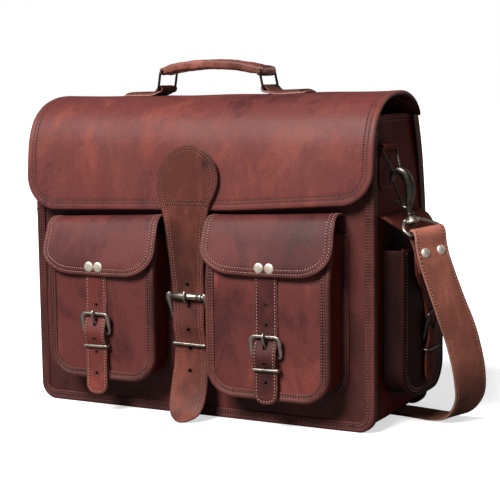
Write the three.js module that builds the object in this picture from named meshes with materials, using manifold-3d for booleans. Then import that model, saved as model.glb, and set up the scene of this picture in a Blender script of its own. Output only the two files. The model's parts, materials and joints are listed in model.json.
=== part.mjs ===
// Leather satchel: flap-over body, two front pockets, two side pockets, top
// handle on wire rings and a clip-on shoulder strap.
// Millimetres. X to the right, -Y to the front, +Z up.
// The pieces are drawn about the middle of the body's base, and the whole is
// then moved so that the origin is the bottom centre of its overall box.
import * as THREE from 'three';
import { mergeVertices } from 'three/addons/utils/BufferGeometryUtils.js';
import Module from 'manifold-3d';

const wasm = await Module();
wasm.setup();

// ---------------------------------------------------------------- dimensions
const ORIGIN_SHIFT = [-17.16, 22.85]; // body centre line to overall box centre
const HALF_W = 203;          // half width of the body over its bindings
const FRONT_Y = -76;         // outer face of the front panel
const LEATHER = 2.8;         // body leather
const GAP = 0.3;             // clearance between touching pieces
const CORNER_R = 14;         // bottom corners of the body
const BIND_W = 10.5;         // width of the body's edge binding
const BASE_LIFT = 4.5;       // underside of the bottom panel
const SHELL_TOP = 318;       // top edge of the back panel
const FRONT_TOP = 306;       // top edge of the front panel, under the flap's curve
const GUSSET_TOP = 320;
// outer profile of the back, [y, z]
const BACK = [[78, 0], [77.6, 60], [77, 115], [74.6, 175], [70, 226], [60.5, 280], [47.6, 319]];

const FLAP_T = 2.6;
const FLAP_HALF_W = 206;
const FLAP_BOTTOM = 219;
const FLAP_CORNER_R = 36;
const FLAP_PIVOT = [47.5, 321.5];
const FLAP_PATH = [[47.5, 321.5], [34, 332], [12, 338.8], [-9, 340.7], [-34, 338.8], [-58, 332.5], [-76, 321], [-85.5, 305], [-88.5, 285], [-88.7, 250], [-88.4, 219]];

const TONGUE_X = 3.5;
const TONGUE_W = 37.4;
const TONGUE_PATH = [[-93.6, 294], [-94.2, 270], [-94.2, 225], [-93.6, 190], [-92.4, 160], [-90.9, 138], [-91.3, 128], [-92.7, 116], [-94.0, 106], [-94.2, 97], [-92.4, 82], [-92.4, 62], [-95.5, 36], [-100, 16], [-103.5, 4]];
const CB = { top: [-96.6, 131.8], bottom: [-87.4, 106.4], w: 47, inner: 39.6, wire: 2.4, keeperZ: 81 };

const POCKET_W = 139;
const POCKET_FRONT = -110;
const POCKET_TOP = 199;
const POCKET_T = 2.6;
const POCKET_R = 30;
const PF_W = 148;             // pocket flap width
const PF_PIVOT = [-113.6, 204.4];
const PF_R = 36;
const PSTRAP_W = 26;
const POCKETS = {
  left: { cx: -96.5, bottom: 38, strapX: -103, flapZ: 151, rivetZ: 160.5, bar: 88.7, keeper: 74.5, end: 22 },
  right: { cx: 99, bottom: 33.5, strapX: 100.5, flapZ: 159.5, rivetZ: 169.5, bar: 78.7, keeper: 65.5, end: 30 },
};

const SP = { x: 231.5, y0: -55, y1: 45, z0: 33, z1: 186, r: 28, t: 2.4 };
const SF_PIVOT = [203.9, 214.4];
const SF_PATH = [[203.9, 214.4], [214, 212.2], [224.5, 205], [231.6, 194.5], [234.0, 183], [234.4, 165], [234.3, 150], [234.2, 118], [235.8, 104], [237.0, 92], [235.8, 78], [235.2, 60], [236, 46]];
const SF_CY = -5;

const RING_W = 34;            // strap width that a handle or side ring takes
const WIRE = 2.4;
const HX = [-71.5, 56.5];     // handle ring stations
const H_Y = -9;
const H_LOW = 347.6;
const H_HIGH = 367;

const SR_TOP = [205.9, 289.5];  // side ring bar in its tab, [x, z]
const SR_Y = -47;
const SR_LEN = 29.2;
const STRAP_W = 38;
const STRAP_T = 3;

// ------------------------------------------------------------------ materials
const mat = (hex, roughness, metalness = 0) => new THREE.MeshStandardMaterial({ color: hex, roughness, metalness });
const M = {
  body: mat(0x6a2f2c, 0.5), flap: mat(0x7c3b33, 0.48), trim: mat(0x4f2527, 0.5), pocket: mat(0x6f3634, 0.5),
  tongue: mat(0x65332b, 0.52), strap: mat(0x7a4136, 0.55), grip: mat(0x6b352c, 0.5), lining: mat(0x8a6a4c, 0.9),
  metal: mat(0x6b665c, 0.35, 1), dark: mat(0x3f3d39, 0.3, 1), rivet: mat(0xe2d7c0, 0.3, 1),
};

// -------------------------------------------------------------------- helpers
const v2 = (p) => new THREE.Vector2(p[0], p[1]);
const v3 = (...p) => new THREE.Vector3(...p);

function smooth(points, n) {
  return new THREE.SplineCurve(points.map(v2)).getPoints(n).map((p) => [p.x, p.y]);
}
// y on a profile of [y, z] points at height z
function along(profile, z) {
  if (z <= profile[0][1]) return profile[0][0];
  for (let i = 1; i < profile.length; i++) {
    const [a, b] = [profile[i - 1], profile[i]];
    if ((a[1] - z) * (b[1] - z) <= 0 && a[1] !== b[1]) return a[0] + (b[0] - a[0]) * (z - a[1]) / (b[1] - a[1]);
  }
  return profile[profile.length - 1][0];
}
const BACK_P = smooth(BACK, 14);

function shapeOf(pts, holes = []) {
  const s = new THREE.Shape(pts.map(v2));
  for (const h of holes) s.holes.push(new THREE.Path(h.map(v2)));
  return s;
}
function place(geometry, xAxis, yAxis, zAxis, origin) {
  const m = new THREE.Matrix4().makeBasis(xAxis, yAxis, zAxis);
  m.setPosition(origin);
  geometry.applyMatrix4(m);
  return geometry;
}
const extrude = (pts, depth, holes) => new THREE.ExtrudeGeometry(shapeOf(pts, holes), { depth, bevelEnabled: false, steps: 1, curveSegments: 1 });
// outline in (y, z), run from x0 to x1
const prismX = (pts, x0, x1, holes) => place(extrude(pts, x1 - x0, holes), v3(0, 1, 0), v3(0, 0, 1), v3(1, 0, 0), v3(x0, 0, 0));
// outline in (x, z), run from y0 to y1
const prismY = (pts, y0, y1, holes) => place(extrude(pts, y1 - y0, holes), v3(1, 0, 0), v3(0, 0, 1), v3(0, -1, 0), v3(0, y1, 0));
// outline in (x, y), run from z0 to z1
const prismZ = (pts, z0, z1, holes) => place(extrude(pts, z1 - z0, holes), v3(1, 0, 0), v3(0, 1, 0), v3(0, 0, 1), v3(0, 0, z0));

const rect = (x0, y0, x1, y1) => [[x0, y0], [x1, y0], [x1, y1], [x0, y1]];
function circle(cx, cy, r, n = 16, a0 = 0) {
  return Array.from({ length: n }, (_, i) => { const a = a0 + i * 2 * Math.PI / n; return [cx + r * Math.cos(a), cy + r * Math.sin(a)]; });
}
// rectangle with rounded lower corners
function uShape(x0, x1, z0, z1, r, n = 6) {
  const p = [[x1, z1], [x0, z1]];
  for (let i = 0; i <= n; i++) { const a = Math.PI + i * Math.PI / 2 / n; p.push([x0 + r + r * Math.cos(a), z0 + r + r * Math.sin(a)]); }
  for (let i = 0; i <= n; i++) { const a = -Math.PI / 2 + i * Math.PI / 2 / n; p.push([x1 - r + r * Math.cos(a), z0 + r + r * Math.sin(a)]); }
  return p;
}
function roundRect(x0, z0, x1, z1, r, n = 4) {
  const p = [];
  for (const [cx, cz, a0] of [[x1 - r, z1 - r, 0], [x0 + r, z1 - r, 1], [x0 + r, z0 + r, 2], [x1 - r, z0 + r, 3]]) {
    for (let i = 0; i <= n; i++) { const a = a0 * Math.PI / 2 + i * Math.PI / 2 / n; p.push([cx + r * Math.cos(a), cz + r * Math.sin(a)]); }
  }
  return p;
}
// closed outline of a band of thickness t that follows a path, shifted sideways by off
function band(path, t, off = 0) {
  const L = [], R = [];
  for (let i = 0; i < path.length; i++) {
    const a = path[Math.max(i - 1, 0)], b = path[Math.min(i + 1, path.length - 1)];
    const dx = b[0] - a[0], dy = b[1] - a[1], l = Math.hypot(dx, dy), nx = -dy / l, ny = dx / l;
    L.push([path[i][0] + nx * (off + t / 2), path[i][1] + ny * (off + t / 2)]);
    R.push([path[i][0] + nx * (off - t / 2), path[i][1] + ny * (off - t / 2)]);
  }
  return L.concat(R.reverse());
}

function solid(g) {
  const c = g.clone();
  for (const name of Object.keys(c.attributes)) if (name !== 'position') c.deleteAttribute(name);
  const m = mergeVertices(c, 1e-4);
  const idx = [];
  const a = m.index.array;
  for (let i = 0; i < a.length; i += 3) if (a[i] !== a[i + 1] && a[i + 1] !== a[i + 2] && a[i] !== a[i + 2]) idx.push(a[i], a[i + 1], a[i + 2]);
  return new wasm.Manifold(new wasm.Mesh({ numProp: 3, vertProperties: new Float32Array(m.attributes.position.array), triVerts: new Uint32Array(idx) }));
}
function geo(s) {
  const m = s.getMesh();
  const g = new THREE.BufferGeometry();
  const pos = new Float32Array(m.vertProperties.length / m.numProp * 3);
  for (let i = 0; i < pos.length / 3; i++) for (let k = 0; k < 3; k++) pos[3 * i + k] = m.vertProperties[i * m.numProp + k];
  g.setAttribute('position', new THREE.BufferAttribute(pos, 3));
  g.setIndex(new THREE.BufferAttribute(new Uint32Array(m.triVerts), 1));
  g.computeVertexNormals();
  return g;
}
const fold = (op) => (first, ...rest) => geo(rest.reduce((s, g) => s[op](solid(g)), solid(first)));
const join = fold('add');
const cut = fold('subtract');
const common = fold('intersect');

function mirrorX(g) {
  const c = g.clone();
  c.scale(-1, 1, 1);
  if (c.index) { const a = c.index.array; for (let i = 0; i < a.length; i += 3) { const t = a[i]; a[i] = a[i + 1]; a[i + 1] = t; } }
  else { const p = c.attributes.position; for (let i = 0; i < p.count; i += 3) { for (const k of ['X', 'Y', 'Z']) { const t = p['get' + k](i); p['set' + k](i, p['get' + k](i + 1)); p['set' + k](i + 1, t); } } }
  return c;
}

const satchel = new THREE.Group();
satchel.name = 'satchel_bag';
const groups = {};
function add(group, name, geometry, material) {
  if (!groups[group]) { groups[group] = new THREE.Group(); groups[group].name = group; satchel.add(groups[group]); }
  const mesh = new THREE.Mesh(geometry, material);
  mesh.name = name;
  groups[group].add(mesh);
}

// ----------------------------------------------------------------- body shell
const backOff = (d) => BACK_P.map(([y, z]) => [y - d, z]);
function backSlab(d0, d1, z0, z1) {   // between the back profile less d0 and less d1
  const zs = [z0, ...BACK_P.map((p) => p[1]).filter((z) => z > z0 + 1 && z < z1 - 1), z1];
  return [...zs.map((z) => [along(BACK_P, z) - d1, z]), ...zs.slice().reverse().map((z) => [along(BACK_P, z) - d0, z])];
}
function backEdge(yFront, d, z0, z1) {  // from a flat front plane to the back profile less d
  const zs = [z0, ...BACK_P.map((p) => p[1]).filter((z) => z > z0 + 1 && z < z1 - 1), z1];
  return [[yFront, z1], [yFront, z0], ...zs.map((z) => [along(BACK_P, z) - d, z])];
}
add('body', 'front_panel', prismY(uShape(-198.5, 198.5, BASE_LIFT + 0.2, FRONT_TOP, 10.5), FRONT_Y, FRONT_Y + LEATHER), M.body);
add('body', 'back_panel', common(prismX(backSlab(1.3, 1.3 + LEATHER, BASE_LIFT, SHELL_TOP), -198.5, 198.5), prismY(uShape(-198.5, 198.5, BASE_LIFT + 0.2, SHELL_TOP + 5, 10.5), 20, 90)), M.body);

const gussetIn = FRONT_Y + LEATHER + GAP, gussetBack = 1.3 + LEATHER + GAP;
const gussetPlate = (() => {
  const top = GUSSET_TOP - 2;
  const zs = [18.3, ...BACK_P.map((p) => p[1]).filter((z) => z > 20 && z < top - 3), top];
  return prismX([[gussetIn + 10, GUSSET_TOP - 1], [gussetIn, GUSSET_TOP - 9], [gussetIn, 18.3], ...zs.map((z) => [along(BACK_P, z) - gussetBack, z])], 199, 199 + LEATHER);
})();
add('body', 'gusset_right', gussetPlate, M.body);
add('body', 'gusset_left', mirrorX(gussetPlate), M.body);

const bottomOuter = uShape(-201.8, 201.8, BASE_LIFT, 18, 11.7, 5);
const bottomInner = uShape(-199, 199, BASE_LIFT + LEATHER, 30, 9, 5);
add('body', 'bottom_panel', cut(prismY(bottomOuter, gussetIn, 78 - gussetBack), prismY(bottomInner, gussetIn - 5, 90)), M.body);

const bindOuter = uShape(-HALF_W, HALF_W, 0, SHELL_TOP, CORNER_R, 6);
const bindFace = uShape(-HALF_W + BIND_W, HALF_W - BIND_W, BIND_W, 400, 8, 5);
const bindCore = uShape(-202.1, 202.1, BASE_LIFT - GAP, 400, 12, 6);
add('body', 'front_binding', cut(prismY(uShape(-HALF_W, HALF_W, 0, FRONT_TOP, CORNER_R, 6), FRONT_Y - 1.6, FRONT_Y + 8.5), prismY(bindFace, -90, -50), prismY(bindCore, FRONT_Y - GAP, -50)), M.trim);
add('body', 'back_binding', cut(
  common(prismX(backSlab(0, 10, 0, SHELL_TOP), -HALF_W, HALF_W), prismY(bindOuter, 20, 90)),
  prismY(bindFace, 20, 95),
  common(prismX(backSlab(1.0, 30, -1, SHELL_TOP + 1), -204, 204), prismY(bindCore, 0, 95))), M.trim);

add('body', 'centre_divider', prismY(uShape(-196, 196, 8.5, 290, 8, 4), -1.1, 1.1), M.lining);

// --------------------------------------------------------------- front pockets
for (const [side, P] of Object.entries(POCKETS)) {
  const x0 = P.cx - POCKET_W / 2, x1 = P.cx + POCKET_W / 2;
  const outer = uShape(x0, x1, P.bottom, POCKET_TOP, POCKET_R, 6);
  const inner = uShape(x0 + POCKET_T, x1 - POCKET_T, P.bottom + POCKET_T, POCKET_TOP + 20, POCKET_R - POCKET_T, 6);
  add('body', `pocket_${side}_panel`, prismY(outer, POCKET_FRONT, POCKET_FRONT + POCKET_T), M.pocket);
  add('body', `pocket_${side}_gusset`, cut(prismY(outer, POCKET_FRONT + POCKET_T + GAP, FRONT_Y - GAP), prismY(inner, -120, -60)), M.pocket);
  const lidPath = [[FRONT_Y - 1.0, 216.6], [-90, 213], [-103, 208.6], [-110.6, 205.9]];
  add('body', `pocket_${side}_lid`, prismX(band(lidPath, 2.4), P.cx - PF_W / 2 + 9, P.cx + PF_W / 2 - 9), M.pocket);

  // flap, strap and buckle that lift together
  const g = `pocket_${side}_flap`;
  const flapPath = smooth([[PF_PIVOT[0], PF_PIVOT[1]], [-115.1, 199], [-115.5, 190], [-115.4, 170], [-115.4, P.flapZ]], 12);
  const flapLine = uShape(P.cx - PF_W / 2, P.cx + PF_W / 2, P.flapZ, 230, PF_R, 7);
  const rivets = [P.strapX - 5.8, P.strapX + 5.8];
  const shankHoles = rivets.map((x) => prismY(circle(x, P.rivetZ, 1.9, 10), -125, -105));
  add(g, `pocket_${side}_flap`, cut(common(prismX(band(flapPath, 2.4), P.cx - PF_W / 2 - 1, P.cx + PF_W / 2 + 1), prismY(flapLine, -130, -100)), ...shankHoles), M.pocket);

  const b = P.bar, k = P.keeper;
  const sPath = smooth([[-112.7, P.flapZ + 24], [-112.7, P.flapZ], [-112.9, b + 40], [-113.4, b + 27], [-114.6, b + 17], [-118.2, b + 7], [-119.6, b], [-117.6, b - 8], [-115.2, k + 2], [-115.1, k - 4], [-115.4, k - 20], [-115.8, P.end]], 30);
  const tipR = 8;
  const sLine = uShape(P.strapX - PSTRAP_W / 2, P.strapX + PSTRAP_W / 2, P.end, 250, tipR, 5);
  const sSlot = prismY(rect(P.strapX - 2.8, b - 0.5, P.strapX + 2.8, b + 13.5), -130, -105);
  add(g, `pocket_${side}_strap`, cut(common(prismX(band(sPath, 2.4), P.strapX - 20, P.strapX + 20), prismY(sLine, -130, -100)), sSlot, ...shankHoles), M.pocket);

  add(g, `pocket_${side}_rivets`, join(
    prismY(roundRect(P.strapX - 10, P.rivetZ - 3.4, P.strapX + 10, P.rivetZ + 3.4, 2, 2), -111.1, -110.4),
    ...rivets.map((x) => prismY(circle(x, P.rivetZ, 1.5, 10), -117.6, -110.9)),
    ...rivets.map((x) => place(new THREE.CylinderGeometry(3.6, 5.2, 1.5, 16), v3(1, 0, 0), v3(0, -1, 0), v3(0, 0, -1), v3(x, -117.75, P.rivetZ)))), M.rivet);

  // rectangular buckle frame, tilted so that its top bar stands in front of the strap
  const bot = [-114.2, b], top = [-118.2, b + 21.6];
  frame(g, `pocket_${side}_buckle`, P.strapX, bot, top, 35.6, 27.6, M.metal);
  add(g, `pocket_${side}_chape`, cut(
    join(prismX(rect(-113.5, P.bottom + 4, -111.7, b), P.strapX - 12, P.strapX + 12), prismX(circle(bot[0], bot[1], 3.5, 16), P.strapX - 12, P.strapX + 12)),
    prismX(circle(bot[0], bot[1], 2.15, 16), P.strapX - 15, P.strapX + 15),
    prismY(rect(P.strapX - 3, b - 4, P.strapX + 3, b + 6), -125, -100)), M.trim);
  prong(`pocket_${side}_prong`, P.strapX, bot, [[bot[0] - 2.6, b + 0.6], [-119.6, b + 6.5], [-121.9, b + 13.5], [-122.6, b + 20.5], [-121.9, b + 24.6]], M.metal);
  add(g, `pocket_${side}_keeper`, prismZ(roundRect(P.strapX - 15.2, -118.7, P.strapX + 15.2, -110.4, 1.6, 2), k - 1.5, k + 1.5, [roundRect(P.strapX - 13.4, -117.2, P.strapX + 13.4, -111.35, 0.8, 1)]), M.metal);
}

// square-wire buckle frame between two bars given in (y, z)
function frame(group, name, cx, bottom, top, outerW, innerW, material, wire = WIRE) {
  const dy = top[0] - bottom[0], dz = top[1] - bottom[1], L = Math.hypot(dy, dz);
  const h = wire / 2;
  const o = roundRect(-outerW / 2, -h, outerW / 2, L + h, 3, 3);
  const i = roundRect(-innerW / 2, h, innerW / 2, L - h, 1, 1);
  const g = extrude(o, wire, [i]);
  const X = v3(1, 0, 0), V = v3(0, dy / L, dz / L), N = new THREE.Vector3().crossVectors(X, V);
  place(g, X, V, N, v3(cx, bottom[0], bottom[1]).addScaledVector(N, -h));
  add(group, name, g, material);
}
// tongue of a buckle: an eye round the bottom bar and a bar out over the top one
function prong(name, cx, bar, path, material, half = 1.5) {
  const p = smooth(path, 8);
  add(name, name, cut(join(prismX(circle(bar[0], bar[1], 3.3, 14), cx - 2.2, cx + 2.2), prismX(band(p, 2.2), cx - half, cx + half)), prismX(circle(bar[0], bar[1], 2.1, 14), cx - 5, cx + 5)), material);
}

// ------------------------------------------------------------------- main flap
const flapLine = smooth(FLAP_PATH, 26);
const flapOuter = uShape(-FLAP_HALF_W, FLAP_HALF_W, FLAP_BOTTOM, 420, FLAP_CORNER_R, 8);
const flapInner = uShape(-FLAP_HALF_W + 12, FLAP_HALF_W - 12, FLAP_BOTTOM + 12, 421, FLAP_CORNER_R - 12, 6);
add('flap', 'main_flap', common(prismX(band(flapLine, FLAP_T), -FLAP_HALF_W - 1, FLAP_HALF_W + 1), prismY(flapOuter, -120, 80)), M.flap);
add('flap', 'flap_binding', cut(common(prismX(band(flapLine.slice(2), 1.5, -FLAP_T / 2 - GAP - 0.75), -FLAP_HALF_W - 1, FLAP_HALF_W + 1), prismY(flapOuter, -120, 80)), prismY(flapInner, -130, 90)), M.trim);

const tonguePath = smooth(TONGUE_PATH, 40);
const tongueLine = (() => {   // keyhole head, shoulders narrowing to the strap, rounded tip
  const right = [[0, 291.5], [9, 290], [19, 285.5], [28, 277.5], [34, 268], [36.5, 258], [35, 246], [31, 234], [27.5, 222], [24.5, 208], [21.5, 190], [19.6, 172], [18.7, 155], [18.7, 95], [19.4, 70], [21.2, 45], [21.4, 26], [18.5, 12], [11, 5], [0, 2.6]];
  const r = smooth(right, 40);
  return [...r.map(([x, z]) => [TONGUE_X + x, z]), ...r.slice(1, -1).reverse().map(([x, z]) => [TONGUE_X - x, z])];
})();
const tongueHoles = [...[168, 150, 62, 44].map((z) => prismY(circle(TONGUE_X, z, 2.2, 8), -120, -80)), prismY(rect(TONGUE_X - 3, 106, TONGUE_X + 3, 122), -120, -80)];
add('flap', 'tongue_strap', cut(common(prismX(band(tonguePath, 3), -45, 50), prismY(tongueLine, -130, -70)), ...tongueHoles), M.tongue);

frame('flap', 'centre_buckle', TONGUE_X, CB.bottom, CB.top, CB.w, CB.inner, M.metal);
add('flap', 'centre_chape', cut(
  join(prismX(rect(-88.9, 48, -86.2, CB.bottom[1]), TONGUE_X - 18, TONGUE_X + 18), prismX(circle(CB.bottom[0], CB.bottom[1], 3.7, 16), TONGUE_X - 18, TONGUE_X + 18)),
  prismX(circle(CB.bottom[0], CB.bottom[1], 2.15, 16), TONGUE_X - 30, TONGUE_X + 30),
  prismY(rect(TONGUE_X - 3.2, CB.bottom[1] - 4.2, TONGUE_X + 3.2, CB.bottom[1] + 6), -100, -70)), M.trim);
prong('centre_prong', TONGUE_X, CB.bottom, [[-90.2, 107.4], [-96.4, 115], [-100.4, 124], [-101.9, 132], [-101.1, 138]], M.metal);
add('flap', 'centre_keeper', prismZ(roundRect(TONGUE_X - 20.8, -96.2, TONGUE_X + 20.8, -84.2, 2, 2), CB.keeperZ - 1.5, CB.keeperZ + 1.5, [roundRect(TONGUE_X - 19.3, -94.9, TONGUE_X + 19.3, -85.5, 1, 1)]), M.metal);
add('centre_roller', 'centre_roller', prismX(circle(CB.top[0], CB.top[1], 3.5, 16), TONGUE_X - 18.6, TONGUE_X + 18.6, [circle(CB.top[0], CB.top[1], 2.1, 16)]), M.metal);

// ---------------------------------------------------------------------- handle
const topPath = smooth(FLAP_PATH, 26).filter(([y]) => y < 13 && y > -31);
function handleTab(name, x, outward) {
  const xe = x + outward * 47.5;
  const lo = Math.min(x, xe), hi = Math.max(x, xe);
  const line = outward < 0 ? roundRectEnd(lo, hi, -1) : roundRectEnd(lo, hi, 1);
  const plate = common(prismX(band(topPath, 2.2, -FLAP_T / 2 - GAP - 1.1), lo, hi), prismZ(line, 300, 360));
  add('flap', name, cut(join(plate, prismY(circle(x, H_LOW, 3.7, 16), H_Y - RING_W / 2 + 0.6, H_Y + RING_W / 2 - 0.6)), prismY(circle(x, H_LOW, 2.1, 16), -60, 40)), M.grip);
}
function roundRectEnd(lo, hi, dir) {   // plan of a tab with one rounded end
  const y0 = H_Y - RING_W / 2 + 0.6, y1 = H_Y + RING_W / 2 - 0.6, r = 12;
  return dir > 0 ? [[lo, y0], [hi - r, y0], [hi - r * 0.3, y0 + r * 0.3], [hi, y0 + r], [hi, y1 - r], [hi - r * 0.3, y1 - r * 0.3], [hi - r, y1], [lo, y1]]
    : [[hi, y1], [lo + r, y1], [lo + r * 0.3, y1 - r * 0.3], [lo, y1 - r], [lo, y0 + r], [lo + r * 0.3, y0 + r * 0.3], [lo + r, y0], [hi, y0]];
}
handleTab('handle_tab_left', HX[0], -1);
handleTab('handle_tab_right', HX[1], 1);

function ringYZ(x, z0, z1) {
  const h = WIRE / 2, w = RING_W / 2;
  return prismX(roundRect(H_Y - w - WIRE, z0 - h, H_Y + w + WIRE, z1 + h, 3, 3), x - h, x + h, [roundRect(H_Y - w, z0 + h, H_Y + w, z1 - h, 0.8, 1)]);
}
add('handle_ring_left', 'handle_ring_left', ringYZ(HX[0], H_LOW, H_HIGH), M.dark);
add('handle_ring_right', 'handle_ring_right', ringYZ(HX[1], H_LOW, H_HIGH), M.dark);
const gripPath = smooth([[-70, 367.2], [-58, 370.2], [-38, 373.4], [-7.5, 375], [23, 373.4], [43, 370.2], [55, 367.2]], 20);
const gripLine = roundRect(-90, H_Y - 15.6, 80, H_Y + 15.6, 2, 1);
add('handle_grip', 'handle_grip', cut(
  join(common(prismY(band(gripPath, 8), -40, 30), prismZ(gripLine, 350, 390)), ...HX.map((x) => prismY(circle(x, H_HIGH, 4.2, 16), H_Y - 15.6, H_Y + 15.6))),
  ...HX.map((x) => prismY(circle(x, H_HIGH, 2.1, 16), -60, 40))), M.grip);

// ---------------------------------------------------------------- side pockets
const spOuter = uShape(SP.y0, SP.y1, SP.z0, SP.z1, SP.r, 6);
const spInner = uShape(SP.y0 + SP.t, SP.y1 - SP.t, SP.z0 + SP.t, SP.z1 + 20, SP.r - SP.t, 6);
const sidePocket = cut(prismX(spOuter, 202.1, SP.x), prismX(spInner, 190, SP.x - SP.t));
add('body', 'side_pocket_right', sidePocket, M.body);
add('body', 'side_pocket_left', mirrorX(sidePocket), M.body);

const sfPath = smooth(SF_PATH, 30);
const sfLine = (() => {   // wide at the gusset, drawn in to a strap; its front edge is cut back behind the clip
  const rear = [[0, 216], [52, 216], [52, 200], [50, 180], [46, 165], [38, 153], [26, 145], [16, 138], [13, 128], [13, 52], [8, 46.5], [0, 45]];
  const front = [[50, 216], [40, 208], [31, 199], [31.5, 184], [33.5, 168], [32, 154], [25, 145.5], [16, 138], [13, 128], [13, 52], [8, 46.5]];
  return [...rear.map(([y, z]) => [SF_CY + y, z]), ...front.reverse().map(([y, z]) => [SF_CY - y, z])];
})();
const sideFlap = cut(common(prismY(band(sfPath, 2.2), -80, 70), prismX(sfLine, 190, 250)), prismX(rect(SF_CY - 2.6, 92, SF_CY + 2.6, 110), 220, 250));
add('side_flap_right', 'side_flap_right', sideFlap, M.body);
add('side_flap_left', 'side_flap_left', mirrorX(sideFlap), M.body);
const sideBuckle = (() => {   // frame with its tongue, bars given in (x, z)
  const bot = [233.9, 91.5], top = [238.2, 118];
  const dx = top[0] - bot[0], dz = top[1] - bot[1], L = Math.hypot(dx, dz), h = 1.1;
  const g = extrude(roundRect(-17.6, -h, 17.6, L + h, 3, 3), 2.2, [roundRect(-13.6, h, 13.6, L - h, 1, 1)]);
  const Y = v3(0, 1, 0), V = v3(dx / L, 0, dz / L), N = new THREE.Vector3().crossVectors(Y, V);
  place(g, Y, V, N, v3(bot[0], SF_CY, bot[1]).addScaledVector(N, -h));
  const tongue = prismY(band(smooth([[bot[0], bot[1]], [237.8, 97], [240.3, 106], [240.8, 114], [240.3, 120.5]], 8), 2), SF_CY - 1.4, SF_CY + 1.4);
  return join(g, tongue);
})();
add('side_flap_right', 'side_buckle_right', sideBuckle, M.dark);
add('side_flap_left', 'side_buckle_left', mirrorX(sideBuckle), M.dark);

// -------------------------------------------------------------- side ring tabs
const tabY0 = SR_Y - RING_W / 2 + 0.2, tabY1 = SR_Y + RING_W / 2 - 0.2;
const sideTab = cut(
  join(prismX(uShape(tabY0, tabY1, 246, 289, 14, 5), 202.2, 204.6), prismY(circle(SR_TOP[0], SR_TOP[1], 3.6, 16), tabY0, tabY1)),
  prismY(circle(SR_TOP[0], SR_TOP[1], 2.1, 16), -90, 0));
add('body', 'side_tab_right', sideTab, M.body);
add('body', 'side_tab_left', mirrorX(sideTab), M.body);

// ring that hangs from a tab; lower bar at (x, z) = low
function sideRing(low) {
  const top = v3(SR_TOP[0], SR_Y, SR_TOP[1]), bottom = v3(low[0], SR_Y, low[1]);
  const D = bottom.clone().sub(top), L = D.length(); D.normalize();
  const Y = v3(0, 1, 0), N = new THREE.Vector3().crossVectors(Y, D), h = WIRE / 2, w = RING_W / 2;
  const o = [[-w - WIRE, -h], [w + WIRE, -h], [w + WIRE, 5], [9.5, L + h], [-9.5, L + h], [-w - WIRE, 5]];
  const i = [[-w, h], [w, h], [w, 4.6], [8, L - h], [-8, L - h], [-w, 4.6]];
  return place(extrude(o, WIRE, [i]), Y, D, N, top.clone().addScaledVector(N, -h));
}

// ------------------------------------------------------------- clips and strap
const unit = (v) => v.clone().normalize();
// right side: ring bar, neck of the clip, ring bar of the strap end and its direction
const CLIPS = {
  right: { bar: v3(217, SR_Y, 262.5), neck: v3(231.5, -46, 214), end: v3(247.5, -45, 192), along: v3(0.51, 0.86, 0.1), hang: v3(0.42, 0.22, -0.88) },
  left: { bar: v3(217, SR_Y, 262.5), neck: v3(233, -35, 217), end: v3(246.5, -24, 197), along: v3(0.2, 0.97, 0.1), hang: v3(0.2, 0.4, -0.9) },
};
function clipFrame(c) {
  const V = unit(c.bar.clone().sub(c.neck));
  const W = unit(v3(0, 1, 0).addScaledVector(V, -V.y));      // thickness direction
  const U = new THREE.Vector3().crossVectors(W, V);
  return { U: U.x > 0 ? U : U.negate(), V, len: c.bar.distanceTo(c.neck) };
}
function clipParts(c) {
  const { U, V, len } = clipFrame(c);
  const N = new THREE.Vector3().crossVectors(U, V);
  const k = len / 38.5;
  const put = (pts, half, holes) => place(extrude(pts, 2 * half, holes), U, V, N, c.neck.clone().addScaledVector(N, -half));
  const spine = smooth([[0, -2], [1, 4], [5.4, 12], [9.4, 21], [9.6, 30], [6.2, 38.5], [0, 42.6], [-6.4, 40], [-8.6, 33.5]].map(([a, b]) => [a * k, b * k]), 22);
  const body = put(band(spine, 4.6), 2.6);
  const lug = put(roundRect(-5.5 * k, 3 * k, 2.4 * k, 8 * k, 1.2, 2), 1.2);
  // stud turns in the eye of the strap end, held by its head
  const cyl = (r, y0, y1, n = 14) => place(new THREE.CylinderGeometry(r, r, y1 - y0, n), U, V, N, c.neck.clone().addScaledVector(V, (y0 + y1) / 2));
  const hook = join(body, lug, cyl(4.4, -4, -0.5), cyl(2.2, -12.2, -2), cyl(4.2, -14.6, -11.6));
  const pin = [-5.8 * k, 5.4 * k];
  // gate: shuts the mouth from inside, turning about a pin by the neck
  const gate = put(band([[-4.6 * k, 10.6 * k], [-6.2 * k, 18 * k], [-6.6 * k, 25 * k], [-5.7 * k, 31.5 * k]], 1.8), 1.6);
  const pinAt = c.neck.clone().addScaledVector(U, -4.2 * k).addScaledVector(V, 10 * k);
  return { hook, gate, U, V, N, pinAt, k };
}
// directions of the strap end below its ring: down the strap and out of its face
function hangFrame(c, A) {
  const S = unit(c.hang.clone().addScaledVector(A, -c.hang.dot(A)));
  const F = new THREE.Vector3().crossVectors(A, S);
  return { S, F: F.x > 0 ? F : F.negate() };
}
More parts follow.
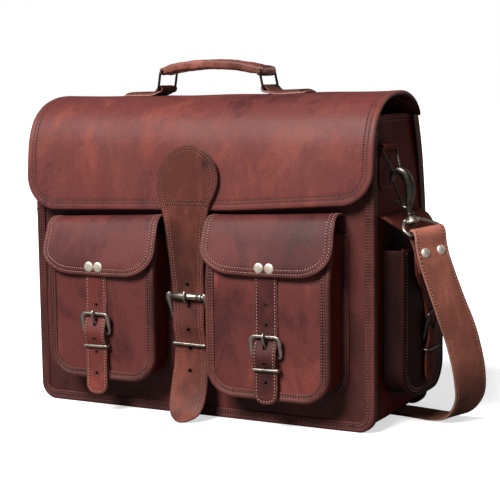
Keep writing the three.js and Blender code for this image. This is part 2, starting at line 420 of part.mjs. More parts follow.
// eye block and D-ring at the end of the strap
function strapRing(c) {
  const { V } = clipFrame(c);
  const eye = c.neck.clone().addScaledVector(V, -8);
  const D0 = c.end.clone().sub(eye);
  const A = unit(c.along.clone());
  const A2 = unit(A.clone().addScaledVector(unit(D0), -A.dot(unit(D0))));
  const D = unit(D0), L = D0.length(), N = new THREE.Vector3().crossVectors(A2, D), h = WIRE / 2, w = STRAP_W / 2 + 0.8;
  const o = [[-6, -3.2], [6, -3.2], [w + 2.4, L - 9.6], [w + 2.4, L + h - 1], [w + 1, L + h], [-w - 1, L + h], [-w - 2.4, L + h - 1], [-w - 2.4, L - 9.6]];
  const i = [[-4.6, 4.4], [4.6, 4.4], [w, L - 8.4], [w, L - h], [-w, L - h], [-w, L - 8.4]];
  const ring = place(extrude(o, WIRE, [i]), A2, D, N, eye.clone().addScaledVector(N, -h));
  const zz = unit(V), xx = unit(A2.clone().addScaledVector(zz, -A2.dot(zz))), yy = new THREE.Vector3().crossVectors(zz, xx);
  const block = place(new THREE.CylinderGeometry(5.4, 5.4, 5.6, 14), xx, zz, yy.clone().negate(), eye.clone());
  const room = (r, y0, y1) => place(new THREE.CylinderGeometry(r, r, y1 - y0, 16), xx, zz, yy.clone().negate(), c.neck.clone().addScaledVector(V, (y0 + y1) / 2));
  return { ring: cut(join(ring, block), room(2.9, -20, 2), room(5.0, -15.2, -11.2), room(5.6, -4.9, 2)), A: A2, ...hangFrame(c, A2) };
}

// flat band along a path with a stated width direction at each point
function ribbon3(points, dirs, width, thickness, n) {
  const curve = new THREE.CatmullRomCurve3(points, false, 'centripetal');
  const wcurve = new THREE.CatmullRomCurve3(dirs, false, 'catmullrom', 0.3);
  const rows = [];
  for (let i = 0; i <= n; i++) {
    const t = i / n;
    const p = curve.getPoint(t), T = curve.getTangent(t).normalize();
    let w = wcurve.getPoint(t); w.addScaledVector(T, -w.dot(T)).normalize();
    const q = new THREE.Vector3().crossVectors(T, w);
    rows.push([[-1, -1], [1, -1], [1, 1], [-1, 1]].map(([a, b]) => p.clone().addScaledVector(w, a * width / 2).addScaledVector(q, b * thickness / 2)));
  }
  const pos = [], idx = [];
  rows.forEach((r) => r.forEach((v) => pos.push(v.x, v.y, v.z)));
  for (let i = 0; i < n; i++) for (let k = 0; k < 4; k++) {
    const a = 4 * i + k, b = 4 * i + (k + 1) % 4, c = a + 4, d = b + 4;
    idx.push(a, b, d, a, d, c);
  }
  const e = 4 * n;
  idx.push(0, 2, 1, 0, 3, 2, e, e + 1, e + 2, e, e + 2, e + 3);
  const g = new THREE.BufferGeometry();
  g.setAttribute('position', new THREE.Float32BufferAttribute(pos, 3));
  g.setIndex(idx);
  g.computeVertexNormals();
  return g;
}

const L = { ...CLIPS.left };
const flipV = (v) => v3(-v.x, v.y, v.z);
{
  const R = CLIPS.right, rr = strapRing(R), rl = strapRing(L);
  for (const [side, c, r] of [['right', R, rr], ['left', L, rl]]) {
    const p = clipParts(c);
    const m = side === 'left' ? mirrorX : (g) => g;
    add('side_ring_' + side, `side_ring_${side}`, m(sideRing([c.bar.x, c.bar.z])), M.dark);
    add('clip_' + side, `clip_${side}_hook`, m(p.hook), M.metal);
    add('clip_gate_' + side, `clip_${side}_gate`, m(p.gate), M.metal);
    add('body', `strap_ring_${side}`, m(r.ring), M.metal);
  }
  // strap: tail, turn over the ring's bar, down, under the base and up the far side
  const loop = (c, r, flip) => {
    const f = (v) => (flip ? flipV(v) : v);
    const at = (d, n) => f(c.end.clone().addScaledVector(r.S, d).addScaledVector(r.F, n));
    return [at(38, -1.8), at(28, -1.8), at(18, -1.8), at(11, -2.4), at(5, -4.0), at(0, -4.3), at(-3.1, -3.0), at(-4.3, 0), at(-3.1, 3.0), at(0, 4.3), at(5, 4.0), at(11, 2.4), at(18, 1.8), at(28, 1.8)];
  };
  const dirs = (r, flip, k) => Array.from({ length: k }, () => (flip ? v3(-r.A.x, r.A.y, r.A.z) : r.A.clone()));
  const down = [v3(269, -39, 132), v3(277, -25, 96), v3(280.5, -9, 54), v3(276, 3, 27), v3(261, 11, 8), v3(243, 15, 2.6), v3(222, 20, 2.1), v3(200, 24, 2.1)];
  const downDir = [v3(0.58, 0.81, 0.05), v3(0.64, 0.77, 0.0), v3(0.6, 0.8, 0), v3(0.5, 0.87, 0), v3(0.35, 0.94, 0), v3(0.2, 0.98, 0), v3(0.12, 0.99, 0), v3(0.05, 1, 0)];
  const under = [v3(150, 27, 2.1), v3(75, 28, 2.1), v3(0, 28, 2.1), v3(-75, 28, 2.1), v3(-150, 28, 2.1)];
  const up = [v3(-200, 28, 2.1), v3(-222, 28, 2.6), v3(-238, 28, 9), v3(-249, 27, 30), v3(-254, 24, 62), v3(-256, 17, 98), v3(-254, 8, 130)];
  const A = loop(R, rr, false), B = loop(L, rl, true).reverse();
  const pts = [...A, ...down, ...under, ...up, ...B];
  const ds = [...dirs(rr, false, A.length), ...downDir, ...under.map(() => v3(0, 1, 0)), ...up.map((_, i) => v3(-0.02 * i, 1, 0)), ...dirs(rl, true, B.length)];
  let strap = ribbon3(pts, ds, STRAP_W, STRAP_T, 110);
  // rivets clamp the folded ends
  const rivetSet = (c, r, flip) => {
    const f = (g) => (flip ? mirrorX(g) : g);
    const at = (a, n) => c.end.clone().addScaledVector(r.S, 20).addScaledVector(r.A, a).addScaledVector(r.F, n);
    const X = r.A, Y = r.F, Z = new THREE.Vector3().crossVectors(X, Y);
    const cyl = (rad, a, n0, n1, k = 12, r2) => f(place(new THREE.CylinderGeometry(r2 ?? rad, rad, n1 - n0, k), X, Y, Z, at(a, (n0 + n1) / 2)));
    const holes = [-9.5, 9.5].map((a) => cyl(1.9, a, -9, 9));
    const parts = [...[-9.5, 9.5].flatMap((a) => [cyl(1.5, a, -4.4, 4.4), cyl(5.0, a, 3.7, 5.2, 16, 3.6)]), f(place(new THREE.BoxGeometry(28, 0.9, 7), X, Y, Z, at(0, -4.15)))];
    return { holes, parts };
  };
  const qr = rivetSet(R, rr, false), ql = rivetSet(L, rl, true);
  strap = cut(strap, ...qr.holes, ...ql.holes);
  add('body', 'shoulder_strap', strap, M.strap);
  add('body', 'strap_rivets_right', join(...qr.parts), M.rivet);
  add('body', 'strap_rivets_left', join(...ql.parts), M.rivet);
}

satchel.position.set(ORIGIN_SHIFT[0], ORIGIN_SHIFT[1], 0);
export default satchel;
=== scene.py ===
import json
import math
import random

import bpy
import numpy as np
from mathutils import Matrix, Vector
from mathutils.geometry import delaunay_2d_cdt


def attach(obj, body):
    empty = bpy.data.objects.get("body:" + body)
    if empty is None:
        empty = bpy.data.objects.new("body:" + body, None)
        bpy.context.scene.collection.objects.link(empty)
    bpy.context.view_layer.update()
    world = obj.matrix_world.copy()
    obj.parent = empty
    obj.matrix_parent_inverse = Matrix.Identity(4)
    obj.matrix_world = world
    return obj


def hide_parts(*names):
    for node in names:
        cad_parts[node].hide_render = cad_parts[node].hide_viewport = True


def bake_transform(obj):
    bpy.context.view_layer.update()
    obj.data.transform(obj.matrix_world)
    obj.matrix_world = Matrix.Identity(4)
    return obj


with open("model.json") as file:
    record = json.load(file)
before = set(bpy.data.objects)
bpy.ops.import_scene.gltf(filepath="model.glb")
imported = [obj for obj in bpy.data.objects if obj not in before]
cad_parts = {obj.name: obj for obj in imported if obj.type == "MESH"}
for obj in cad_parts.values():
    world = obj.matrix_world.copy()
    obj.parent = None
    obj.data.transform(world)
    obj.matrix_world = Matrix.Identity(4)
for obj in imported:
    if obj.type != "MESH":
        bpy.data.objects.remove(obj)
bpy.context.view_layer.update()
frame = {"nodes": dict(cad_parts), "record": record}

random.seed(7)
RNG = np.random.RandomState(11)
SHIFT = np.array([-17.16, 22.85, 0.0])   # body-centred millimetres to the row frame


def W(p):
    p = np.asarray(p, float)
    return (p + SHIFT) / 1000.0


# ------------------------------------------------------------------- materials
def node(nt, kind, x=0, y=0, **kw):
    n = nt.nodes.new(kind)
    n.location = (x, y)
    for k, v in kw.items():
        setattr(n, k, v)
    return n


def rgb(r, g, b):
    """sRGB 0-255 to linear"""
    out = []
    for c in (r, g, b):
        c /= 255.0
        out.append(c / 12.92 if c <= 0.04045 else ((c + 0.055) / 1.055) ** 2.4)
    return tuple(out) + (1.0,)


def start(name):
    m = bpy.data.materials.new(name)
    m.use_nodes = True
    nt = m.node_tree
    nt.nodes.clear()
    out = node(nt, "ShaderNodeOutputMaterial", 900)
    b = node(nt, "ShaderNodeBsdfPrincipled", 600)
    nt.links.new(b.outputs[0], out.inputs[0])
    at = node(nt, "ShaderNodeAttribute", -1400)
    at.attribute_name = "rp"
    return m, nt, b, at.outputs["Vector"]


def noise(nt, vec, scale, detail=3.0, rough=0.55, dist=0.0, x=-1000, y=0):
    n = node(nt, "ShaderNodeTexNoise", x, y)
    n.inputs["Scale"].default_value = scale
    n.inputs["Detail"].default_value = detail
    n.inputs["Roughness"].default_value = rough
    n.inputs["Distortion"].default_value = dist
    nt.links.new(vec, n.inputs["Vector"])
    return n.outputs["Fac"]


def ramp(nt, fac, stops, x=-500, y=0):
    r = node(nt, "ShaderNodeValToRGB", x, y)
    cr = r.color_ramp
    while len(cr.elements) < len(stops):
        cr.elements.new(0.5)
    for e, (p, c) in zip(cr.elements, stops):
        e.position = p
        e.color = c if len(c) == 4 else (*c, 1)
    nt.links.new(fac, r.inputs[0])
    return r.outputs["Color"]


def mixc(nt, fac, a, b, mode="MIX", x=-200, y=0):
    m = node(nt, "ShaderNodeMix", x, y, data_type="RGBA", blend_type=mode)
    for s, i in ((fac, 0), (a, 6), (b, 7)):
        if hasattr(s, "links") or hasattr(s, "is_linked"):
            nt.links.new(s, m.inputs[i])
        else:
            m.inputs[i].default_value = s
    return m.outputs[2]


def mth(nt, op, a, b=0.0, clamp=False, x=-300, y=0, c=None):
    m = node(nt, "ShaderNodeMath", x, y, operation=op, use_clamp=clamp)
    for i, s in enumerate((a, b) if c is None else (a, b, c)):
        if hasattr(s, "is_linked"):
            nt.links.new(s, m.inputs[i])
        else:
            m.inputs[i].default_value = s
    return m.outputs[0]


def attr(nt, name, x=-1000, y=0):
    a = node(nt, "ShaderNodeAttribute", x, y)
    a.attribute_name = name
    return a.outputs["Fac"]


def leather(name, dark, mid, light, edge, rough=0.46, blotch=1.0, grain=1.0, tint=None, wear=0.6, spec=0.42):
    """Waxed, hand-rubbed leather: broad and streaky tone changes, pores, burnished or raw edges."""
    m, nt, b, rp = start(name)
    L = nt.links
    mp = node(nt, "ShaderNodeMapping", -1200, 300)
    mp.inputs["Rotation"].default_value = (0.35, 0.55, 0.2)
    mp.inputs["Scale"].default_value = (1.0, 0.9, 0.42)
    L.new(rp, mp.inputs["Vector"])
    big = noise(nt, rp, 9.0 * blotch, 3, 0.55, 0.4, -1000, 500)
    streak = noise(nt, mp.outputs[0], 34.0 * blotch, 4, 0.62, 0.9, -1000, 300)
    fine = noise(nt, rp, 210.0, 4, 0.6, 0.3, -1000, 100)
    speck = noise(nt, rp, 900.0, 2, 0.6, 0.0, -1000, -100)
    s = mth(nt, "MULTIPLY_ADD", big, 0.62, x=-800, y=400, c=0.0)
    s = mth(nt, "MULTIPLY_ADD", streak, 0.36, x=-700, y=400, c=s)
    s = mth(nt, "MULTIPLY_ADD", fine, 0.12, x=-600, y=400, c=s)
    col = ramp(nt, s, [(0.405, dark), (0.5, mid), (0.545, mid), (0.65, light)], -450, 400)
    sp = mth(nt, "MULTIPLY_ADD", speck, 0.55, x=-600, y=-100, c=0.725)
    g = node(nt, "ShaderNodeCombineColor", -450, -100)
    for i in range(3):
        L.new(sp, g.inputs[i])
    col = mixc(nt, 0.75, col, g.outputs[0], "MULTIPLY", -200, 300)
    # stitched grooves are darker; the same mask also carries painted shade on the lower shoulder strap and a darker
    # band on the tongue strap
    dk = attr(nt, "dark", -1000, -300)
    dk2 = mth(nt, "MULTIPLY_ADD", fine, 0.7, x=-800, y=-350, c=0.35)
    dk = mth(nt, "MULTIPLY", dk, dk2, True, -600, -300)
    col = mixc(nt, dk, col, (dark[0] * 0.28, dark[1] * 0.25, dark[2] * 0.25, 1), "MIX", -50, 200)
    # raw or rubbed edges
    ed = attr(nt, "edge", -1000, -500)
    en = noise(nt, rp, 120.0, 3, 0.6, 0.2, -1000, -650)
    en = mth(nt, "MULTIPLY_ADD", en, 1.5, x=-800, y=-650, c=-0.25)
    ed = mth(nt, "POWER", ed, 1.3, x=-800, y=-500)
    ed = mth(nt, "MULTIPLY", ed, en, True, -600, -500)
    ed = mth(nt, "MULTIPLY", ed, wear, True, -500, -500)
    col = mixc(nt, ed, col, edge, "MIX", 100, 150)
    L.new(col, b.inputs["Base Color"])
    r = mth(nt, "MULTIPLY_ADD", streak, 0.30, x=-300, y=-700, c=rough - 0.15)
    r = mth(nt, "MULTIPLY_ADD", fine, 0.12, x=-150, y=-700, c=mth(nt, "SUBTRACT", r, 0.06, x=-250, y=-780))
    L.new(r, b.inputs["Roughness"])
    b.inputs["Specular IOR Level"].default_value = spec
    # pores and fine creases
    v = node(nt, "ShaderNodeTexVoronoi", -1000, -900)
    v.feature = "SMOOTH_F1"
    v.inputs["Scale"].default_value = 640.0
    L.new(rp, v.inputs["Vector"])
    cre = noise(nt, mp.outputs[0], 260.0, 5, 0.62, 1.6, -1000, -1100)
    hgt = mth(nt, "MULTIPLY_ADD", v.outputs["Distance"], 0.55, x=-700, y=-950, c=cre)
    hgt = mth(nt, "MULTIPLY_ADD", big, 1.2, x=-600, y=-950, c=hgt)
    bp = node(nt, "ShaderNodeBump", 300, -600)
    bp.inputs["Strength"].default_value = 0.34 * grain
    bp.inputs["Distance"].default_value = 0.0006
    L.new(hgt, bp.inputs["Height"])
    L.new(bp.outputs[0], b.inputs["Normal"])
    return m


def suede(name, a, c):
    m, nt, b, rp = start(name)
    f = noise(nt, rp, 60, 5, 0.7, 0.5)
    f2 = noise(nt, rp, 1400, 3, 0.7, 0, -1000, -300)
    s = mth(nt, "MULTIPLY_ADD", f2, 0.45, x=-800, c=mth(nt, "MULTIPLY", f, 0.6))
    nt.links.new(ramp(nt, s, [(0.35, a), (0.7, c)]), b.inputs["Base Color"])
    b.inputs["Roughness"].default_value = 0.92
    b.inputs["Specular IOR Level"].default_value = 0.15
    bp = node(nt, "ShaderNodeBump", 300, -600)
    bp.inputs["Strength"].default_value = 0.35
    bp.inputs["Distance"].default_value = 0.0004
    nt.links.new(f2, bp.inputs["Height"])
    nt.links.new(bp.outputs[0], b.inputs["Normal"])
    return m


def thread(name, a, c):
    m, nt, b, rp = start(name)
    f = noise(nt, rp, 700, 3, 0.6)
    nt.links.new(ramp(nt, f, [(0.3, a), (0.72, c)]), b.inputs["Base Color"])
    b.inputs["Roughness"].default_value = 0.6
    b.inputs["Specular IOR Level"].default_value = 0.35
    wv = node(nt, "ShaderNodeTexNoise", -600, -500)
    wv.inputs["Scale"].default_value = 2600
    nt.links.new(rp, wv.inputs["Vector"])
    bp = node(nt, "ShaderNodeBump", 300, -600)
    bp.inputs["Strength"].default_value = 0.3
    bp.inputs["Distance"].default_value = 0.0002
    nt.links.new(wv.outputs["Fac"], bp.inputs["Height"])
    nt.links.new(bp.outputs[0], b.inputs["Normal"])
    return m


def metal(name, low, high, rough, patina=0.5):
    """Plated steel with a rubbed antique finish."""
    m, nt, b, rp = start(name)
    f = noise(nt, rp, 150, 4, 0.65, 0.6)
    f2 = noise(nt, rp, 900, 3, 0.6, 0, -1000, -300)
    s = mth(nt, "MULTIPLY_ADD", f2, 0.3, x=-800, c=mth(nt, "MULTIPLY", f, 0.75))
    ed = attr(nt, "edge", -1000, -500)
    s = mth(nt, "MULTIPLY_ADD", ed, 0.25, x=-700, c=s)
    nt.links.new(ramp(nt, s, [(0.5 - 0.3 * (1 - patina), low), (0.72, high)]), b.inputs["Base Color"])
    b.inputs["Metallic"].default_value = 1.0
    r = mth(nt, "MULTIPLY_ADD", f, 0.28, x=-300, y=-400, c=rough - 0.12)
    nt.links.new(r, b.inputs["Roughness"])
    bp = node(nt, "ShaderNodeBump", 300, -600)
    bp.inputs["Strength"].default_value = 0.12
    bp.inputs["Distance"].default_value = 0.0003
    nt.links.new(f2, bp.inputs["Height"])
    nt.links.new(bp.outputs[0], b.inputs["Normal"])
    return m


MAT = {}
MAT["flap"] = leather("flap_leather", rgb(74, 35, 37), rgb(107, 52, 49), rgb(132, 66, 55), rgb(138, 88, 80), rough=0.55, wear=0.5, spec=0.28)
MAT["pocketflap"] = leather("pocket_flap_leather", rgb(60, 28, 30), rgb(80, 38, 38), rgb(101, 50, 47), rgb(160, 112, 98), rough=0.54, wear=0.7, spec=0.24)
MAT["body"] = leather("body_leather", rgb(70, 32, 32), rgb(95, 44, 41), rgb(122, 58, 52), rgb(130, 80, 72), rough=0.54, wear=0.4, spec=0.3)
MAT["front"] = leather("front_leather", rgb(46, 19, 19), rgb(66, 30, 28), rgb(88, 42, 38), rgb(110, 66, 60), rough=0.56, wear=0.3, spec=0.25)
# gusset leather: a darker copy of the body leather that paints the shade on the bag's sides; also used on the pocket
# gussets, side flaps and side tabs
MAT["gusset"] = leather("gusset_leather", rgb(54, 16, 13), rgb(80, 26, 20), rgb(104, 36, 27), rgb(124, 70, 60), rough=0.66, wear=0.4, spec=0.08)
# side pocket leather: near-black, painting the shade on the side pockets, their gussets and piping
MAT["side"] = leather("side_pocket_leather", rgb(20, 6, 5), rgb(32, 11, 10), rgb(50, 18, 15), rgb(84, 44, 38), rough=0.62, wear=0.35, spec=0.12)
MAT["trim"] = leather("trim_leather", rgb(46, 19, 20), rgb(70, 31, 31), rgb(96, 47, 43), rgb(118, 72, 66), rough=0.52, wear=0.45, spec=0.24)
MAT["tongue"] = leather("tongue_leather", rgb(52, 25, 22), rgb(90, 44, 37), rgb(118, 61, 49), rgb(146, 98, 84), rough=0.58, blotch=1.3, wear=0.6, spec=0.24)
MAT["strap"] = leather("strap_leather", rgb(90, 47, 39), rgb(139, 81, 68), rgb(167, 102, 85), rgb(188, 138, 118), rough=0.6, blotch=1.2, wear=0.7, spec=0.22)
MAT["pstrap"] = leather("pocket_strap_leather", rgb(72, 31, 30), rgb(100, 44, 40), rgb(126, 58, 49), rgb(180, 130, 112), rough=0.56, blotch=1.4, wear=0.9, spec=0.28)
MAT["pstrap_r"] = leather("pocket_strap_leather_dark", rgb(48, 20, 21), rgb(66, 29, 29), rgb(86, 39, 36), rgb(166, 112, 92), rough=0.56, blotch=1.4, wear=0.9, spec=0.24)
MAT["grip"] = leather("grip_leather", rgb(82, 42, 37), rgb(118, 66, 57), rgb(150, 90, 78), rgb(206, 160, 144), rough=0.5, blotch=1.8, wear=0.85, spec=0.35)
MAT["suede"] = suede("flesh_side", rgb(62, 33, 27), rgb(100, 60, 48))
MAT["lining"] = suede("lining_suede", rgb(92, 62, 44), rgb(134, 98, 70))
MAT["thread_dark"] = thread("thread_dark", rgb(96, 56, 50), rgb(142, 96, 84))
MAT["thread_mid"] = thread("thread_mid", rgb(118, 76, 66), rgb(158, 108, 94))
MAT["thread_light"] = thread("thread_light", rgb(150, 104, 90), rgb(196, 150, 132))
MAT["hole"] = thread("awl_hole", rgb(10, 3, 3), rgb(24, 8, 8))
MAT["antique"] = metal("antique_metal", (0.07, 0.06, 0.052, 1), (0.46, 0.41, 0.36, 1), 0.36, 0.42)
MAT["dark"] = metal("dark_metal", (0.012, 0.011, 0.010, 1), (0.10, 0.09, 0.08, 1), 0.34, 0.6)
MAT["bronze"] = metal("clip_metal", (0.012, 0.010, 0.009, 1), (0.13, 0.115, 0.10, 1), 0.32, 0.5)
MAT["rivet"] = metal("rivet_metal", (0.74, 0.64, 0.52, 1), (0.94, 0.86, 0.75, 1), 0.5, 0.1)


# --------------------------------------------------------------------- meshes
def seed_of(name):
    v = 0
    for ch in name:
        v = (v * 131 + ord(ch)) % 100003
    return v


# darkening by height in mm: painted shade on the lower end of the shoulder strap; on the tongue strap a darker band
# across its middle and a slight darkening towards its bottom
SHADE = {
    "tongue_strap": lambda V: 0.72 * soft(126, 158, V[:, 2]) * (1 - soft(190, 224, V[:, 2])) + 0.14 * (1 - soft(90, 140, V[:, 2])),
    # painted shade: the shoulder strap darkens towards the floor
    "shoulder_strap": lambda V: 0.85 * (1 - soft(6, 80, V[:, 2])),
}


def make(name, V, F, mats, body=None, rep=(), edge=None, dark=None, mi=None, blend=None, smooth=True, slot=None):
    V = np.asarray(V, float)
    P = W(V)
    me = bpy.data.meshes.new(name)
    me.from_pydata(P.tolist(), [], [list(map(int, f)) for f in F])
    me.update()
    n = len(me.vertices)
    rr = random.Random(seed_of(name))
    off = np.array([rr.uniform(-3, 3) for _ in range(3)])
    a = me.attributes.new("rp", "FLOAT_VECTOR", "POINT")
    a.data.foreach_set("vector", (P + off).astype(np.float32).ravel())
    if name in SHADE:
        dark = np.maximum(np.zeros(n) if dark is None else np.asarray(dark, float), SHADE[name](V))
    for key, arr in (("edge", edge), ("dark", dark)):
        a = me.attributes.new(key, "FLOAT", "POINT")
        a.data.foreach_set("value", (np.zeros(n) if arr is None else np.asarray(arr, float)).astype(np.float32))
    if smooth:
        me.polygons.foreach_set("use_smooth", np.ones(len(me.polygons), bool))
    mats = [mats] if isinstance(mats, str) else list(mats)
    for m in mats:
        me.materials.append(MAT[m])
    if mi is not None:
        me.polygons.foreach_set("material_index", np.asarray(mi, np.int32))
    o = bpy.data.objects.new(name, me)
    bpy.context.scene.collection.objects.link(o)
    if rep:
        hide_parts(*rep)
    if blend:
        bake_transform(o)
    elif body:
        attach(o, body)
    return o


def catmull(pts, n):
    pts = np.asarray(pts, float)
    m = len(pts)
    out = []
    for i in range(n + 1):
        p = (m - 1) * i / n
        k = min(int(math.floor(p)), m - 1)
        w = p - k
        p0, p1 = pts[max(k - 1, 0)], pts[k]
        p2, p3 = pts[min(k + 1, m - 1)], pts[min(k + 2, m - 1)]
        v0, v1 = (p2 - p0) * 0.5, (p3 - p1) * 0.5
        out.append((2 * p1 - 2 * p2 + v0 + v1) * w ** 3 + (-3 * p1 + 3 * p2 - 2 * v0 - v1) * w ** 2 + v0 * w + p1)
    return np.array(out)


def resample(P, step, closed=True):
    """Adds points on long segments, keeping the corners."""
    P = np.asarray(P, float)
    out = []
    n = len(P)
    for i in range(n if closed else n - 1):
        a, b = P[i], P[(i + 1) % n]
        d = np.linalg.norm(b - a)
        if d < 1e-6:
            continue
        k = max(1, int(math.ceil(d / step)))
        for j in range(k):
            out.append(a + (b - a) * j / k)
    if not closed:
        out.append(P[-1])
    return np.array(out)


def even(P, step, closed=False):
    """Points an equal distance apart along a line."""
    P = np.asarray(P, float)
    if closed:
        P = np.vstack([P, P[:1]])
    seg = np.linalg.norm(np.diff(P, axis=0), axis=1)
    L = np.r_[0, np.cumsum(seg)]
    k = max(2, int(round(L[-1] / step)))
    s = np.linspace(0, L[-1], k + 1)
    Q = np.stack([np.interp(s, L, P[:, i]) for i in range(P.shape[1])], 1)
    return Q[:-1] if closed else Q


def area2(P):
    x, y = P[:, 0], P[:, 1]
    return 0.5 * np.sum(x * np.roll(y, -1) - np.roll(x, -1) * y)


def offset_poly(P, d, closed=True):
    """Inward for a counter-clockwise loop; to the left of an open line."""
    A = P - np.roll(P, 1, 0)
    B = np.roll(P, -1, 0) - P
    if not closed:
        A[0], B[-1] = B[0], A[-1]
    nA = np.c_[-A[:, 1], A[:, 0]] / np.maximum(np.linalg.norm(A, axis=1), 1e-9)[:, None]
    nB = np.c_[-B[:, 1], B[:, 0]] / np.maximum(np.linalg.norm(B, axis=1), 1e-9)[:, None]
    m = nA + nB
    m /= np.maximum(np.linalg.norm(m, axis=1), 1e-9)[:, None]
    c = np.maximum(np.sum(m * nA, 1), 0.4)
    return P + m * (d / c)[:, None]


def poly_dist(Q, P, closed=True):
    A = P
    B = np.roll(P, -1, 0)
    if not closed:
        A, B = P[:-1], P[1:]
    out = np.full(len(Q), 1e9)
    d = B - A
    dd = np.maximum((d ** 2).sum(1), 1e-12)
    for i in range(0, len(Q), 2000):
        q = Q[i:i + 2000]
        t = np.clip(((q[:, None, :] - A[None]) * d[None]).sum(2) / dd[None], 0, 1)
        w = q[:, None, :] - (A[None] + t[..., None] * d[None])
        out[i:i + 2000] = np.sqrt((w ** 2).sum(2)).min(1)
    return out


def inside(Q, P):
    r = np.zeros(len(Q), bool)
    x, y = Q[:, 0], Q[:, 1]
    for i in range(len(P)):
        x0, y0 = P[i - 1]
        x1, y1 = P[i]
        if y0 == y1:
            continue
        c = ((y0 > y) != (y1 > y)) & (x < (x1 - x0) * (y - y0) / (y1 - y0) + x0)
        r ^= c
    return r


def round_top(T, r=None, relief=()):
    """Surface heights (top, bottom) at a distance from the edge, with a rounded edge and pressed or raised lines."""
    r = r or T / 2
    rx = [0.0, 1e-3] + [p[0] for p in relief] + [1e6]
    ry = [0.0, 0.0] + [p[1] for p in relief] + [relief[-1][1] if relief else 0.0]

    def shape(d):
        t = np.clip(d / r, 0, 1)
        return np.sqrt(np.maximum(1 - (1 - t) ** 2, 0)) * T / 2

    return (lambda d: shape(d) + np.interp(d, rx, ry)), (lambda d: -shape(d))


def panel(name, outline, fmap, mats, T=2.6, body=None, rep=(), grid=5.0, step=2.6, r=None, relief=(), holes=(), edge_w=2.2,
          darks=(), blend=None, tops=None, extra=(), hoff=0.0, slot=None, under=None):
    """A piece of leather cut to an outline and laid on a surface: closed, with real thickness and worked edges.
    fmap(u, v, h) gives the place of a point h above the middle of the leather."""
    O = resample(outline, step)
    if area2(O) < 0:
        O = O[::-1]
    top, bot = tops or round_top(T, r, relief)
    rr = r or T / 2
    ds = sorted(set([0.12 * rr, 0.45 * rr, rr] + [p[0] for p in relief if p[0] > rr] + list(extra)))
    pts, edges = [O], [(i, (i + 1) % len(O)) for i in range(len(O))]
    base = len(O)
    dmax = ds[-1]
    for d in ds:
        R = offset_poly(O, d)
        keep = poly_dist(R, O) > d * 0.93
        R = R[keep]
        pts.append(R)
        k = len(R)
        idx = np.flatnonzero(keep)
        for i in range(k):
            j = (i + 1) % k
            if (idx[j] - idx[i]) % len(O) == 1:
                edges.append((base + i, base + j))
        base += k
    hs = []
    for H in holes:
        H = np.asarray(H, float)
        if area2(H) < 0:
            H = H[::-1]
        hs.append(H)
        pts.append(H)
        edges += [(base + i, base + (i + 1) % len(H)) for i in range(len(H))]
        base += len(H)
        R = offset_poly(H, -0.7)
        pts.append(R)
        base += len(R)
    lo, hi = O.min(0), O.max(0)
    nx, ny = max(1, int((hi[0] - lo[0]) / grid)), max(1, int((hi[1] - lo[1]) / grid))
    gx, gy = np.meshgrid(lo[0] + (np.arange(nx) + 0.5) * (hi[0] - lo[0]) / nx, lo[1] + (np.arange(ny) + 0.5) * (hi[1] - lo[1]) / ny)
    G = np.c_[gx.ravel(), gy.ravel()]
    G = G[inside(G, O)]
    if len(G):
        G = G[poly_dist(G, O) > dmax + 0.4 * grid]
        for H in hs:
            if len(G):
                G = G[poly_dist(G, H) > 1.3]
                G = G[~inside(G, H)]
    if len(G):
        pts.append(G)
    A = np.vstack(pts)
    res = delaunay_2d_cdt([Vector(p) for p in A], edges, [], 0, 1e-4)
    vo = np.array([tuple(v) for v in res[0]])
    fo = np.array([list(f) for f in res[2]])
    cen = vo[fo].mean(1)
    ok = inside(cen, O)
    for H in hs:
        ok &= ~inside(cen, H)
    fo = fo[ok]
    d = poly_dist(vo, O)
    nv = len(vo)
    onb = d < 2e-3
    bi = np.where(onb, np.arange(nv), nv + np.arange(nv))
    fo = fo[~(onb[fo].all(1))]
    ht, hb = top(d) + hoff, bot(d) + hoff
    Vt = fmap(vo[:, 0], vo[:, 1], ht)
    Vb = fmap(vo[:, 0], vo[:, 1], hb)
    if under is not None:
        Vb = under(vo[:, 0], vo[:, 1], hb, Vb)
    V = np.vstack([Vt, Vb])
    # which way is up
    f0 = fo[np.argmax(np.abs(np.cross(vo[fo[:, 1]] - vo[fo[:, 0]], vo[fo[:, 2]] - vo[fo[:, 0]])))]
    c2 = vo[f0].mean(0)
    upv = fmap(c2[:1], c2[1:2], np.array([5.0]))[0] - fmap(c2[:1], c2[1:2], np.array([-5.0]))[0]
    nrm = np.cross(Vt[f0[1]] - Vt[f0[0]], Vt[f0[2]] - Vt[f0[0]])
    if np.dot(nrm, upv) < 0:
        fo = fo[:, ::-1]
    F = [tuple(f) for f in fo] + [tuple(bi[f[::-1]]) for f in fo]
    mi = [0] * len(fo) + [len(mats) - 1 if not isinstance(mats, str) else 0] * len(fo)
    hole_d = np.full(nv, 1e9)
    for H in hs:
        hd = poly_dist(vo, H)
        hole_d = np.minimum(hole_d, hd)
        loop = [int(np.argmin(((vo - p) ** 2).sum(1))) for p in H]
        for i in range(len(loop)):
            a, c = loop[i], loop[(i + 1) % len(loop)]
            q = (a, c, nv + c, nv + a)
            F.append(q if np.dot(nrm, upv) >= 0 else q[::-1])
            mi.append(0)
    e = np.clip(1 - d / edge_w, 0, 1)
    dk = np.zeros(nv)
    for d0, wd, amt in darks:
        dk = np.maximum(dk, amt * np.exp(-((d - d0) / wd) ** 2))
    dk = np.maximum(dk, np.clip(1.15 - hole_d / 1.1, 0, 1))
    used = np.zeros(2 * nv, bool)
    for f in F:
        for i in f:
            used[i] = True
    remap = np.cumsum(used) - 1
    F = [tuple(int(remap[i]) for i in f) for f in F]
    E2, D2 = np.r_[e, e], np.r_[dk, dk * 0.2]
    o = make(name, V[used], F, mats, body, rep, E2[used], D2[used], mi, blend, slot=slot)
    return o


